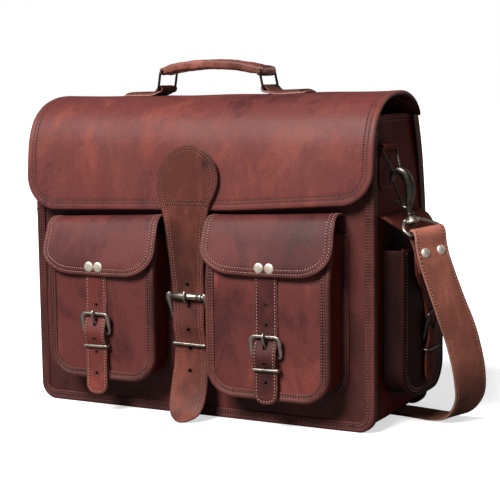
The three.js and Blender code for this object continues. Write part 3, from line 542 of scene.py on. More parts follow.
# a stitch: a short thread lying in its groove, with both ends going down
_k = 6
_ring = [(math.cos(2 * math.pi * i / _k), math.sin(2 * math.pi * i / _k)) for i in range(_k)]
_TV, _TF = [(-1.0, 0.0, -0.9)], []
for x, s, z in ((-0.82, 0.7, -0.25), (-0.3, 1.0, 0.1), (0.3, 1.0, 0.1), (0.82, 0.7, -0.25)):
    for a, c in _ring:
        _TV.append((x, a * s, z + c * s))
_TV.append((1.0, 0.0, -0.9))
for i in range(_k):
    j = (i + 1) % _k
    _TF.append((0, 1 + j, 1 + i))
    for q in range(3):
        a = 1 + q * _k
        _TF.append((a + i, a + j, a + _k + j, a + _k + i))
    _TF.append((1 + 3 * _k + i, 1 + 3 * _k + j, len(_TV) - 1))
_TV = np.array(_TV)


class Thread:
    """Rows of stitches on one piece."""

    def __init__(self):
        self.V, self.F, self.n, self.mi = [], [], 0, []

    def row(self, line, fmap, h, pitch=3.0, length=1.75, wid=0.55, tall=0.42, closed=False, slant=0.16, hole=0.95):
        Q = even(line, pitch, closed)
        if len(Q) < 3:
            return self
        if closed:
            C = Q
            T = np.roll(Q, -1, 0) - np.roll(Q, 1, 0)
        else:
            C = (Q[:-1] + Q[1:]) / 2
            T = Q[1:] - Q[:-1]
        T = T / np.maximum(np.linalg.norm(T, axis=1), 1e-9)[:, None]
        hh = np.full(len(C), h, float)
        a = C - T * 0.5
        b = C + T * 0.5
        c3 = fmap(C[:, 0], C[:, 1], hh)
        X = fmap(b[:, 0], b[:, 1], hh) - fmap(a[:, 0], a[:, 1], hh)
        X /= np.linalg.norm(X, axis=1)[:, None]
        Z = fmap(C[:, 0], C[:, 1], hh + 0.5) - fmap(C[:, 0], C[:, 1], hh - 0.5)
        Z -= X * (Z * X).sum(1)[:, None]
        Z /= np.linalg.norm(Z, axis=1)[:, None]
        Y = np.cross(Z, X)
        m = len(C)
        an = slant + RNG.uniform(-0.07, 0.07, m)
        X, Y = X * np.cos(an)[:, None] + Y * np.sin(an)[:, None], Y * np.cos(an)[:, None] - X * np.sin(an)[:, None]
        ln = length * RNG.uniform(0.92, 1.06, m) / 2
        P = (c3[:, None, :] + X[:, None, :] * (_TV[None, :, 0:1] * ln[:, None, None]) + Y[:, None, :] * (_TV[None, :, 1:2] * wid)
             + Z[:, None, :] * (_TV[None, :, 2:3] * tall))
        k = len(_TV)
        self.V.append(P.reshape(-1, 3))
        for i in range(m):
            base = self.n + i * k
            self.F += [tuple(base + q for q in f) for f in _TF]
            self.mi += [0] * len(_TF)
        self.n += m * k
        # the awl holes between the stitches
        hv = fmap(Q[:, 0], Q[:, 1], np.full(len(Q), h - 0.02))
        up = fmap(Q[:, 0], Q[:, 1], np.full(len(Q), h + 1.0)) - hv
        up /= np.linalg.norm(up, axis=1)[:, None]
        tx = np.gradient(hv, axis=0)
        tx -= up * (tx * up).sum(1)[:, None]
        tx /= np.maximum(np.linalg.norm(tx, axis=1), 1e-9)[:, None]
        ty = np.cross(up, tx)
        for p, u_, x_, y_ in zip(hv, up, tx, ty):
            r_ = hole * RNG.uniform(0.85, 1.15)
            ring = [p + (x_ * math.cos(t) + y_ * math.sin(t)) * r_ + u_ * 0.02 for t in (0, 1.047, 2.094, 3.1416, 4.188, 5.236)]
            self.V.append(np.array([p + u_ * 0.16] + ring + [p - u_ * 0.3]))
            b0 = self.n
            for q in range(6):
                w = 1 + (q + 1) % 6
                self.F.append((b0, b0 + 1 + q, b0 + w))
                self.F.append((b0 + 7, b0 + w, b0 + 1 + q))
                self.mi += [1, 1]
            self.n += 8
        return self

    def make(self, name, mat, body=None, blend=None, slot=None):
        return make(name, np.vstack(self.V), self.F, [mat, "hole"], body, blend=blend, slot=slot, mi=self.mi)


class Geo:
    def __init__(self):
        self.V, self.F, self.E, self.D, self.n = [], [], [], [], 0

    def add(self, V, F, edge=None, dark=None):
        V = np.asarray(V, float)
        self.V.append(V)
        self.E.append(np.zeros(len(V)) if edge is None else np.asarray(edge, float))
        self.D.append(np.zeros(len(V)) if dark is None else np.asarray(dark, float))
        self.F += [tuple(self.n + int(i) for i in f) for f in F]
        self.n += len(V)
        return self

    def make(self, name, mat, body, rep=(), **kw):
        return make(name, np.vstack(self.V), self.F, mat, body, rep, np.concatenate(self.E), np.concatenate(self.D), **kw)


def unit(v):
    v = np.asarray(v, float)
    return v / np.linalg.norm(v)


def tube(path, ra, rb=None, closed=False, nrm=None, k=12, power=2.0, caps=True, twist=0.0):
    """Sweeps a round or flattened section along a line. ra is its half size along nrm, rb across it."""
    P = np.asarray(path, float)
    n = len(P)
    ra = np.broadcast_to(np.asarray(ra, float), (n,)).copy()
    rb = ra if rb is None else np.broadcast_to(np.asarray(rb, float), (n,)).copy()
    if closed:
        T = np.roll(P, -1, 0) - np.roll(P, 1, 0)
    else:
        T = np.gradient(P, axis=0)
    T /= np.linalg.norm(T, axis=1)[:, None]
    N = np.zeros_like(P)
    if nrm is not None:
        nrm = np.asarray(nrm, float)
        N[:] = nrm
        N -= T * (N * T).sum(1)[:, None]
        N /= np.linalg.norm(N, axis=1)[:, None]
    else:
        a = np.array([0.0, 0.0, 1.0]) if abs(T[0, 2]) < 0.8 else np.array([1.0, 0.0, 0.0])
        v = a - T[0] * a.dot(T[0])
        N[0] = v / np.linalg.norm(v)
        for i in range(1, n):
            v = N[i - 1] - T[i] * N[i - 1].dot(T[i])
            N[i] = v / np.linalg.norm(v)
    B = np.cross(T, N)
    an = np.arange(k) * 2 * math.pi / k + twist
    ca, sa = np.cos(an), np.sin(an)
    if power != 2.0:
        ca, sa = np.sign(ca) * np.abs(ca) ** (2 / power), np.sign(sa) * np.abs(sa) ** (2 / power)
    V = P[:, None, :] + N[:, None, :] * (ca[None, :, None] * ra[:, None, None]) + B[:, None, :] * (sa[None, :, None] * rb[:, None, None])
    V = V.reshape(-1, 3)
    F = []
    for i in range(n if closed else n - 1):
        j = (i + 1) % n
        for q in range(k):
            w = (q + 1) % k
            F.append((i * k + q, i * k + w, j * k + w, j * k + q))
    if not closed and caps:
        extra = []
        base = n * k
        for end, sgn in ((0, -1), (n - 1, 1)):
            r = min(ra[end], rb[end])
            ring0 = end * k
            prev = ring0
            for f, g in ((0.82, 0.45), (0.45, 0.8)):
                idx = base + len(extra)
                for q in range(k):
                    p = P[end] + (N[end] * ca[q] * ra[end] + B[end] * sa[q] * rb[end]) * f + T[end] * sgn * r * g
                    extra.append(p)
                for q in range(k):
                    w = (q + 1) % k
                    quad = (prev + q, prev + w, idx + w, idx + q)
                    F.append(quad if sgn > 0 else quad[::-1])
                prev = idx
            tip = base + len(extra)
            extra.append(P[end] + T[end] * sgn * r * 0.95)
            for q in range(k):
                w = (q + 1) % k
                tri = (prev + q, prev + w, tip)
                F.append(tri if sgn > 0 else tri[::-1])
        V = np.vstack([V, np.array(extra)])
    return V, F


def lathe(profile, origin, axis, k=24):
    """Turns a profile of (radius, height) points about an axis; closed where the radius is 0."""
    axis = unit(axis)
    a = np.array([0.0, 0.0, 1.0]) if abs(axis[2]) < 0.8 else np.array([1.0, 0.0, 0.0])
    X = unit(np.cross(a, axis))
    Y = np.cross(axis, X)
    V, F, rings = [], [], []
    for r, z in profile:
        if r < 1e-6:
            rings.append([len(V)] * k)
            V.append(np.asarray(origin) + axis * z)
        else:
            rings.append(list(range(len(V), len(V) + k)))
            for q in range(k):
                t = 2 * math.pi * q / k
                V.append(np.asarray(origin) + axis * z + (X * math.cos(t) + Y * math.sin(t)) * r)
    for a, b in zip(rings[:-1], rings[1:]):
        for q in range(k):
            w = (q + 1) % k
            f = [a[q], a[w], b[w], b[q]]
            g = []
            for i in f:
                if i not in g:
                    g.append(i)
            if len(g) > 2:
                F.append(tuple(g))
    return np.array(V), F


def round_path(pts, r, n=6, closed=True):
    """A 3-D polygon with its corners rounded."""
    P = [np.asarray(p, float) for p in pts]
    m = len(P)
    out = []
    for i in range(m):
        if not closed and i in (0, m - 1):
            out.append(P[i])
            continue
        a, b, c = P[i - 1], P[i], P[(i + 1) % m]
        ri = r[i] if hasattr(r, "__len__") else r
        u, v = a - b, c - b
        lu, lv = np.linalg.norm(u), np.linalg.norm(v)
        u, v = u / lu, v / lv
        ang = math.acos(np.clip(u.dot(v), -1, 1))
        t = min(ri / math.tan(ang / 2), 0.49 * lu, 0.49 * lv)
        p0, p2 = b + u * t, b + v * t
        for j in range(n + 1):
            w = j / n
            out.append((1 - w) ** 2 * p0 + 2 * w * (1 - w) * b + w * w * p2)
    return np.array(out)


class Fold:
    """A surface that follows a line in a plane: u across it, v along it, h off its outer face."""

    def __init__(self, pts, plane="yz", sign=1.0, n=300, warp=None, mirror=False, smooth=True):
        C = catmull(pts, n) if smooth else np.asarray(pts, float)
        self.s = np.r_[0, np.cumsum(np.hypot(*np.diff(C, axis=0).T))]
        T = np.gradient(C, axis=0)
        T /= np.hypot(*T.T)[:, None]
        self.C, self.T = C, T
        self.N = sign * np.c_[T[:, 1], -T[:, 0]]
        self.L = self.s[-1]
        self.plane, self.warp, self.mirror = plane, warp, mirror

    def at(self, v):
        vv = np.clip(v, 0, self.L)
        g = lambda A: np.stack([np.interp(vv, self.s, A[:, i]) for i in range(2)], -1)
        T = g(self.T)
        N = g(self.N)
        N /= np.linalg.norm(N, axis=-1)[..., None]
        return g(self.C) + T * (v - vv)[..., None], T, N

    def __call__(self, u, v, h):
        u, v, h = np.asarray(u, float), np.asarray(v, float), np.asarray(h, float)
        if self.warp is not None:
            h = h + self.warp(u, v)
        P, T, N = self.at(v)
        Q = P + N * h[..., None]
        if self.plane == "yz":
            return np.stack([u, Q[..., 0], Q[..., 1]], -1)
        x = -Q[..., 0] if self.mirror else Q[..., 0]
        return np.stack([x, u, Q[..., 1]], -1)

    def v_at(self, value, axis=1, last=True):
        """Where along the line the coordinate reaches a value."""
        c = self.C[:, axis] - value
        k = np.flatnonzero(c[:-1] * c[1:] <= 0)
        if not len(k):
            return self.L if last else 0.0
        i = k[-1] if last else k[0]
        t = c[i] / (c[i] - c[i + 1] + 1e-12)
        return self.s[i] + t * (self.s[i + 1] - self.s[i])


def arc(cx, cy, r, a0, a1, n=8):
    return [(cx + r * math.cos(math.radians(a0 + (a1 - a0) * i / n)), cy + r * math.sin(math.radians(a0 + (a1 - a0) * i / n))) for i in range(n + 1)]


def u_outline(x0, x1, z0, z1, r, n=10, ztop=None):
    """Rounded lower corners; (x, z), counter-clockwise from the top right."""
    zt = ztop or (lambda x: z1)
    return [(x1, zt(x1)), (x0, zt(x0))] + arc(x0 + r, z0 + r, r, 180, 270, n) + arc(x1 - r, z0 + r, r, 270, 360, n)


def circle2(cx, cy, r, n=14):
    return [(cx + r * math.cos(2 * math.pi * i / n), cy + r * math.sin(2 * math.pi * i / n)) for i in range(n)]


def soft(a, b, x):
    t = np.clip((np.asarray(x, float) - a) / (b - a), 0, 1)
    return t * t * (3 - 2 * t)


# ------------------------------------------------------------------ dimensions
HALF_W, FRONT_Y = 203.0, -76.0
BACK = [[78, 0], [77.6, 60], [77, 115], [74.6, 175], [70, 226], [60.5, 280], [47.6, 319]]
BP = catmull(BACK, 60)


def back_y(z):
    return np.interp(z, BP[:, 1], BP[:, 0])


# ------------------------------------------------------------------- the body
def front_bulge(x, z):
    return 1.6 * np.cos(np.clip(x / 203, -1, 1) * math.pi / 2) * np.sin(np.clip(z / 300, 0, 1) * math.pi) + 0.5 * np.sin(x / 31.0 + z / 47.0)


def f_front(u, v, h):
    u, v, h = (np.asarray(a, float) for a in (u, v, h))
    return np.stack([u, FRONT_Y + 1.4 - front_bulge(u, v) * soft(0, 30, v) - h, v], -1)


panel("front_panel", u_outline(-200.6, 200.6, 2.6, 306, 17.0), f_front, ["front", "suede"], T=2.8, body="bag", rep=("front_panel",), grid=7, step=5)


def f_back(u, v, h):
    u, v, h = (np.asarray(a, float) for a in (u, v, h))
    b = 2.4 * np.cos(np.clip(u / 203, -1, 1) * math.pi / 2) * np.sin(np.clip(v / 300, 0, 1) * math.pi) + 0.5 * np.sin(u / 37.0 - v / 41.0)
    return np.stack([u, back_y(v) - 2.7 + b * soft(0, 30, v) + h, v], -1)


panel("back_panel", u_outline(-200.6, 200.6, 2.6, 318.5, 12.5), f_back, ["body", "suede"], T=2.8, body="bag", rep=("back_panel",), grid=7, step=5)

# the gusset is one strip: down one side, along the base and up the other
_up = [(-200.2, 321.5), (-200.2, 18)] + arc(-188.2, 18, 12, 180, 270, 8)[1:] + arc(188.2, 18, 12, 270, 360, 8) + [(200.2, 321.5)]
_up = resample(np.array(_up), 6, closed=False)


def gusset_warp(u, v):
    """Side walls fold in a little at the mouth and swell lower down; the base hangs between its bindings."""
    P, T, N = GUS.at(v)
    z = P[..., 1]
    side = soft(16, 40, z)
    c = np.cos(np.clip((u + 2) / 74, -1, 1) * math.pi / 2)
    w = side * c * (1.4 * np.sin(np.clip((z - 20) / 200, 0, 1) * math.pi) - 4.2 * soft(215, 318, z))
    w += side * 0.6 * np.sin(u / 9.0 + 1.3 + z / 60) * soft(200, 300, z)
    return w + (1 - side) * 0.8 * c


GUS = Fold(_up, "xz", sign=1.0, smooth=False, n=0)
GUS.warp = gusset_warp
gz = lambda v: GUS.at(np.array([v]))[0][0][1]
front_e = [(-73.0, v) for v in np.linspace(9, GUS.L - 9, 60)]
back_e = [(float(back_y(gz(v))) - 4.0, v) for v in np.linspace(2.5, GUS.L - 2.5, 80)]
g_out = [(-66.0, 1.2)] + front_e + [(-66.0, GUS.L - 1.2)] + [(-20.0, GUS.L - 0.4), (20.0, GUS.L - 1.0)] + back_e[::-1] + [(20.0, 1.0), (-20.0, 0.4)]
panel("gusset_strip", g_out, GUS, ["gusset", "suede"], T=2.6, body="bag", rep=("gusset_left", "gusset_right", "bottom_panel"), grid=7, step=5,
      relief=[(1.6, 0.1), (3.4, 0.1), (4.2, -0.3), (5.0, 0.1), (6.6, 0.1), (7.4, -0.3), (8.2, 0.05), (9.5, 0)], darks=[(4.2, 0.7, 0.5), (7.4, 0.7, 0.5)])
th = Thread()
for v0 in (4.2, 7.4):
    for vv in (v0, GUS.L - v0):
        th.row([(-64, vv), (-20, vv - 0.0), (20, vv), (float(back_y(gz(vv))) - 12, vv)], GUS, 1.2, 3.0)
th.make("gusset_stitches", "thread_mid", "bag")


def binding(name, U, ypos, ysign, mat, body, rep, face=10.5, side=9.6, lift=1.6, rows=(4.4, 7.6), side_rows=(4.6, 7.6), puff=0.5, row_mat="thread_dark", pitch=3.0):
    """A folded strip round an edge: U is its outer line in (x, z), ypos(z) the face it lies on and ysign which way that face looks."""
    U = resample(np.asarray(U, float), 4.0, closed=False)
    T = np.gradient(U, axis=0)
    T /= np.hypot(*T.T)[:, None]
    N = np.c_[-T[:, 1], T[:, 0]]            # inwards, for a line that runs down the left side and up the right
    a1, a2 = rows
    b1, b2 = side_rows
    sec = [(face, 1.3), (face, 0.5), (face - 0.5, 0.05), (face - 1.6, -0.05), (a2 + 0.7, 0.05), (a2, 0.28), (a2 - 0.7, 0.0), ((a1 + a2) / 2, -0.15),
           (a1 + 0.7, 0.0), (a1, 0.28), (a1 - 0.8, -0.1), (a1 - 1.9, -puff * 0.9), (1.3, -puff * 0.35), (0.35, 0.7), (-puff * 0.25, 1.9), (-puff * 0.3, 3.0), (0.0, b1 - 0.8),
           (0.28, b1), (0.0, b1 + 0.7), (0.0, (b1 + b2) / 2), (0.0, b2 - 0.7), (0.28, b2), (0.0, b2 + 0.7), (0.1, side - 0.6), (0.5, side), (1.3, side)]
    inner = [(1.7, side - 0.4), (1.8, 3.2), (2.6, 2.0), (4.0, 1.7), (face - 0.6, 1.75)]
    S = np.array(sec + inner)
    S[:len(sec), 1] *= 1.0
    k = len(S)
    V, E, D = [], [], []
    for (x, z), (nx, nz) in zip(U, N):
        y0 = ypos(z)
        for a, b in S:
            V.append((x + nx * a, y0 + ysign * (lift - b), z + nz * a))
        E += [0.9 if i in (0, 1, 2, 24, 25) else (0.75 if i in (11, 12, 13, 14, 15) else 0.0) for i in range(k)]
        D += [0.35 if i in (5, 9, 17, 21) else (0.1 if i in (4, 6, 8, 10, 16, 18, 20, 22) else 0.0) for i in range(k)]
    F = []
    for i in range(len(U) - 1):
        for q in range(k):
            w = (q + 1) % k
            f = (i * k + q, i * k + w, (i + 1) * k + w, (i + 1) * k + q)
            F.append(f if ysign > 0 else f[::-1])
    c0, c1 = tuple(range(k)), tuple(range((len(U) - 1) * k, len(U) * k))
    F.append(c0[::-1] if ysign > 0 else c0)
    F.append(c1 if ysign > 0 else c1[::-1])
    o = make(name, V, F, mat, body, rep, E, D)
    sU = np.r_[0, np.cumsum(np.hypot(*np.diff(U, axis=0).T))]

    def on_face(u, v, h):
        x = np.interp(v, sU, U[:, 0])
        z = np.interp(v, sU, U[:, 1])
        nx = np.interp(v, sU, N[:, 0])
        nz = np.interp(v, sU, N[:, 1])
        return np.stack([x + nx * u, np.array([ypos(q) for q in np.atleast_1d(z)]) + ysign * (lift + h), z + nz * u], -1)

    def on_side(u, v, h):
        x = np.interp(v, sU, U[:, 0])
        z = np.interp(v, sU, U[:, 1])
        nx = np.interp(v, sU, N[:, 0])
        nz = np.interp(v, sU, N[:, 1])
        return np.stack([x - nx * h, np.array([ypos(q) for q in np.atleast_1d(z)]) + ysign * (lift - u), z - nz * h], -1)

    th = Thread()
    L = sU[-1]
    for a in rows:
        th.row([(a, 3), (a, L - 3)], on_face, -0.08, pitch)
    for a in side_rows:
        th.row([(a, 3), (a, L - 3)], on_side, -0.08, pitch)
    th.make(name + "_stitches", row_mat, body)
    return o


def u_line(x0, x1, z0, z1, r, n=12):
    return [(x0, z1)] + arc(x0 + r, z0 + r, r, 180, 270, n) + arc(x1 - r, z0 + r, r, 270, 360, n) + [(x1, z1)]


binding("front_binding", u_line(-203.4, 203.4, 0.3, 306, 18.5), lambda z: FRONT_Y, -1, "trim", "bag", ("front_binding",), face=10.6, side=9.8)
binding("back_binding", u_line(-203.4, 203.4, 0.3, 318.5, 14), lambda z: float(back_y(z)) - 1.2, 1, "trim", "bag", ("back_binding",), face=10.6, side=14.5, row_mat="thread_mid",
        side_rows=(4.4, 10.2))

# divider and the stitch row along its top
DIV = Fold([[0, 8], [0.6, 60], [-1.2, 140], [0.9, 220], [0, 290]], "yz", sign=1.0, n=60, warp=lambda u, v: 1.5 * np.sin(u / 55.0) * soft(0, 90, v))
panel("centre_divider", [(196, 3), (196, DIV.L - 1), (-196, DIV.L - 1), (-196, 3)], DIV, ["lining"], T=2.2, body="bag", rep=("centre_divider",), grid=12, step=10)
th = Thread()
th.row([(-192, DIV.L - 5), (192, DIV.L - 5)], DIV, 1.0, 3.4)
th.make("centre_divider_stitches", "thread_light", "bag")

# --------------------------------------------------------------- main flap
FLAP = [[66.4, 258], [62.4, 280.5], [56.0, 301], [48.4, 320.2], [34, 332], [12, 338.8], [-9, 340.7], [-34, 338.8], [-56, 331.5], [-72, 319], [-81.0, 303], [-85.6, 285],
        [-88.9, 250], [-89.6, 219], [-89.7, 214]]


def flap_warp(u, v):
    crest = soft(S_PIV - 10, S_PIV + 45, v) * (1 - soft(S_FR - 40, S_FR + 30, v))
    w = crest * (2.6 * u / 206.0 - 0.9 * np.cos(u / 206.0 * math.pi / 2) ** 2)
    low = soft(S_FR, S_FR + 70, v)
    w = w + low * (0.7 * np.sin(u / 43.0 + 0.6) + 0.5 * np.sin(u / 21.0 + v / 33.0))
    w = w + 0.35 * np.sin(u / 17.0 - v / 23.0) * soft(S_PIV, S_PIV + 30, v)
    return w


MF = Fold(FLAP, "yz", sign=1.0, n=420)
S_PIV = MF.v_at(321.0, last=False)
S_FR = MF.v_at(321.0, last=True)
MF.warp = flap_warp
S219 = MF.v_at(219.0)


def flap_bottom(x):
    z = np.interp(x, [-206, -174, -41, 49, 121, 170, 206], [216.8, 217.0, 221.0, 223.0, 228.0, 231.5, 234.5])
    return S219 - (z - 219.0)


def flap_outline(half=206.0, r=37.0, v0=None):
    xs = np.linspace(half - r, -half + r, 60)
    vb = flap_bottom(xs)
    vl, vr = flap_bottom(-half + r), flap_bottom(half - r)
    left = [(-half + r - r * math.sin(t), vl - r + r * math.cos(t)) for t in np.linspace(0, math.pi / 2, 14)[1:]]
    right = [(half - r + r * math.sin(t), vr - r + r * math.cos(t)) for t in np.linspace(math.pi / 2, 0, 14)[:-1]]
    return right + list(zip(xs, vb)) + left


core = flap_outline()
tail = [(-206, S_PIV + 2), (-205.4, S_PIV - 3), (-202, S_PIV - 4.6), (-191.5, S_PIV - 5.0), (-190, S_PIV - 8), (-189.5, 6), (-184, 1), (184, 1), (189.5, 6), (190, S_PIV - 8), (191.5, S_PIV - 5.0), (202, S_PIV - 4.6), (205.4, S_PIV - 3), (206, S_PIV + 2)]
mf_out = core + tail
E1, E2 = 6.8, 10.6
REL_F = [(2.4, 0.25), (4.4, 0.35), (5.9, 0.15), (E1, -0.2), (7.7, 0.1), (8.7, 0.14), (9.7, 0.06), (E2, -0.24), (11.6, -0.05), (13.5, 0.0)]
FT = 2.6


def flap_top(d):
    t = np.clip(d / 2.3, 0, 1)
    base = -FT / 2 + FT * np.sqrt(np.maximum(1 - (1 - t) ** 2, 0))
    return base + np.interp(d, [0, 1e-3] + [p[0] for p in REL_F], [0, 0] + [p[1] for p in REL_F])


HINGE = ("bag", "flap", (0, 57, 321.5), (0, 35, 321.5))
panel("main_flap", mf_out, MF, ["flap", "suede"], T=FT, rep=("main_flap",), grid=4.5, step=2.6, tops=(flap_top, lambda d: np.full_like(d, -FT / 2)), relief=REL_F, edge_w=5.0,
      darks=[(E1, 0.9, 0.2), (E2, 1.0, 0.3), (8.7, 1.4, 0.12)], blend=HINGE)
mf_cw = np.array(mf_out)
if area2(mf_cw) < 0:
    mf_cw = mf_cw[::-1]
mf_r = resample(mf_cw, 2.6)


def sub_line(loop, ok, d):
    """The part of a loop, moved inwards by d, where ok holds, as one open line."""
    R = offset_poly(loop, d)
    keep = ok(R) & (poly_dist(R, loop) > d * 0.93)
    idx = np.flatnonzero(~keep)
    if not len(idx):
        return R
    R2 = np.roll(R, -(idx[0] + 1), 0)
    k2 = np.roll(keep, -(idx[0] + 1))
    best, cur = [], []
    for p, k in zip(R2, k2):
        if k:
            cur.append(p)
        else:
            if len(cur) > len(best):
                best = cur
            cur = []
    if len(cur) > len(best):
        best = cur
    return np.array(best)


th = Thread()
for d in (E1, E2):
    th.row(sub_line(mf_r, lambda R: R[:, 1] > S_PIV + 12, d), MF, FT / 2 - 0.10, 2.85, 1.85)
th.make("main_flap_stitches", "thread_dark", blend=HINGE)
th = Thread()
for v0 in (5.0, 9.0):
    th.row([(-184, v0), (184, v0)], MF, FT / 2 - 0.02, 3.0)
th.make("main_flap_seam_stitches", "thread_dark", "bag")
# binding under the edge
outer = sub_line(mf_r, lambda R: R[:, 1] > S_PIV + 20, 0.001)
inner = sub_line(mf_r, lambda R: R[:, 1] > S_PIV + 20, 12.0)
strip = np.vstack([outer, inner[::-1]])


def bind_bot(d):
    t = np.clip(d / 1.9, 0, 1)
    return FT / 2 * 0 + (0.85 - 1.7 * np.sqrt(np.maximum(1 - (1 - t) ** 2, 0)))


MFB = Fold(FLAP, "yz", sign=1.0, n=420, warp=lambda u, v: flap_warp(u, v) - FT / 2 - 0.86)
panel("flap_binding", strip, MFB, ["trim"], T=1.7, rep=("flap_binding",), grid=6, step=3.5, tops=(lambda d: np.full_like(d, 0.85), bind_bot), edge_w=3.0, body="flap")

# ------------------------------------------------------------- tongue strap
TX = 3.5
TP = [[-93.6, 294], [-94.2, 270], [-94.2, 225], [-93.6, 190], [-92.4, 160], [-90.9, 138], [-91.3, 128], [-92.7, 116], [-94.0, 106], [-94.2, 97], [-92.4, 82], [-92.6, 62], [-95.8, 38],
      [-100.4, 22], [-106.4, 10.5], [-113.2, 4.6], [-119.5, 2.3], [-122.0, 1.9]]
TONG = Fold(TP, "yz", sign=1.0, n=400, warp=lambda u, v: 0.5 * np.cos(np.clip((u - TX) / 30, -1, 1) * math.pi / 2) * (1 - soft(40, 90, v)) + 0.4 * np.sin(v / 19.0) * soft(60, 110, v))
tv = lambda z: TONG.v_at(z)
tsx = lambda z: float(np.interp(z, [0, 20, 55, 81, 105, 130, 170, 200, 228, 250, 275, 295], [-3.4, -3.2, -2.6, -2.8, -4.2, -5.0, -5.6, -6.2, -6.0, -3.0, -1.0, 0.0]))
TB = TX - 4.6   # the tongue's middle at the buckle
half = np.array([[291.5, 0], [291.0, 5], [289.6, 10.5], [286.8, 16.5], [282.5, 22.5], [276.5, 28.5], [269, 33.2], [260, 36.0], [250, 36.4], [240, 34.2], [231, 30.8], [220, 27.4], [206, 24.6], [190, 23.2],
                 [172, 21.4], [155, 20.0], [130, 19.1], [95, 18.9], [70, 19.4], [45, 21.2], [28, 21.6], [16, 20.6], [9.4, 18.0], [5.6, 14.2], [3.6, 9.6], [2.7, 5.0], [2.35, 0]])
hc = catmull(half, 130)
to = [(TX + tsx(z) + w, tv(z)) for z, w in hc] + [(TX + tsx(z) - w, tv(z)) for z, w in hc[1:-1][::-1]]
T_HOLES = [circle2(TX + tsx(z) - 0.2, tv(z), 2.0, 12) for z in (143.6, 95.7, 75.4, 51.8)]
REL_T = [(1.9, 0.12), (2.6, 0.02), (3.2, -0.16), (3.9, 0.06), (4.7, 0.1), (5.5, 0.02), (6.2, -0.16), (7.0, 0.02), (8.4, 0.0)]
panel("tongue_strap", to, TONG, ["tongue", "suede"], T=3.0, body="flap", rep=("tongue_strap",), grid=3.6, step=2.2, r=1.1, relief=REL_T, edge_w=1.6,
      darks=[(3.2, 0.8, 0.25), (6.2, 0.9, 0.3), (0.0, 0.9, 0.15)], holes=T_HOLES + [[(TB - 2.3, tv(119)), (TB + 2.3, tv(119)), (TB + 2.3, tv(127.6)), (TB - 2.3, tv(127.6))]])
to_r = np.array(to)
if area2(to_r) < 0:
    to_r = to_r[::-1]
to_r = resample(to_r, 2.2)
th = Thread()
for d in (3.2, 6.2):
    th.row(offset_poly(to_r, d), TONG, 1.42, 2.85, 1.8, closed=True)
th.make("tongue_strap_stitches", "thread_mid", "flap")
th = Thread()
for d in (E1, E2):
    v0 = tv(222.0 + d)
    w = 26 + (d - 6) * 0.3
    th.row([(TX - 5.0 - w, v0 + 0.4), (TX - 5.0 + w, v0 - 0.4)], TONG, 1.5, 2.85, 1.85)
th.make("tongue_cross_stitches", "thread_dark", "flap")


# ------------------------------------------------------------------- buckles
def frame_path(cx, bottom, top, outer_w, rt, rb, inset=0.0):
    """Closed line of a buckle frame between its two bars, given in (y, z)."""
    w = outer_w / 2
    b = np.array([0, bottom[0], bottom[1]], float)
    t = np.array([0, top[0], top[1]], float)
    X = np.array([1.0, 0, 0])
    c = np.array([cx, 0, 0], float)
    return round_path([c + b - X * w, c + b + X * w, c + t + X * w, c + t - X * w], [rb, rb, rt, rt], 8), unit(np.cross(X, t - b))


def buckle(name, cx, bottom, top, w, body, rep, mat="antique", a=1.5, b=2.1, rt=5.5, rb=4.0, gap=None):
    P, N = frame_path(cx, bottom, top, w, rt, rb)
    P = resample(P, 1.2)
    z = P[:, 2]
    t = np.clip((z - bottom[1]) / (top[1] - bottom[1]), 0, 1)
    side = np.clip((np.abs(P[:, 0] - cx) - w * 0.36) / (w * 0.14), 0, 1)
    bb = b * (0.82 + 0.34 * side * (0.55 + 0.45 * t))
    aa = a * (0.92 + 0.12 * side)
    V, F = tube(P, aa, bb, closed=True, nrm=N, k=14, power=2.9)
    n = Vector(N)
    e = np.abs(((V - np.repeat(P, 14, 0)) @ np.array(N)) / a) ** 2
    g = Geo().add(V, F, edge=np.clip(e, 0, 1))
    return g, N


g, NB = buckle("centre_buckle", TB, (-87.4, 106.4), (-96.6, 131.8), 44.0, "flap", (), a=1.6, b=2.0, rt=5.0, rb=4.0)
# widened upper corners of the frame
for sx in (-1, 1):
    p0 = np.array([TB + sx * 20.6, -96.8, 132.6])
    V, F = tube(np.array([p0 + (sx * -0.2, 0, 1.9), p0 + (sx * 1.6, 0.1, 0.9), p0 + (sx * 2.2, 0.9, -3.0), p0 + (sx * 2.0, 2.5, -8.0), p0 + (sx * 1.6, 4.2, -13.0)]), [1.9, 2.3, 2.3, 1.9, 1.4], [1.9, 2.6, 2.7, 2.2, 1.6], nrm=NB, k=14, power=2.5)
    g.add(V, F, edge=np.full(len(V), 0.5))
g.make("centre_buckle", "antique", "flap", ("centre_buckle",))
# roller: a rolled sheet tube with an open seam and turned-in ends
RC = np.array([TB, -96.6, 131.8])
g = Geo()
for x0, x1 in ((-18.4, 12.9), (13.7, 18.4)):
    prof = [(0, 0), (3.1, 0), (3.5, 0.45), (3.5, (x1 - x0) - 0.45), (3.1, x1 - x0), (0, x1 - x0)]
    V, F = lathe(prof, RC + (x0, 0, 0), (1, 0, 0), 28)
    g.add(V, F, edge=[0.2 if np.hypot(*(v[1:] - RC[1:])) < 3.4 else 0.45 for v in V])
V, F = lathe([(0, 0), (3.0, 0), (3.0, 0.9), (0, 0.9)], RC + (12.85, 0, 0), (1, 0, 0), 24)
g.add(V, F)
g.make("centre_roller", "antique", "centre_roller", ("centre_roller",))


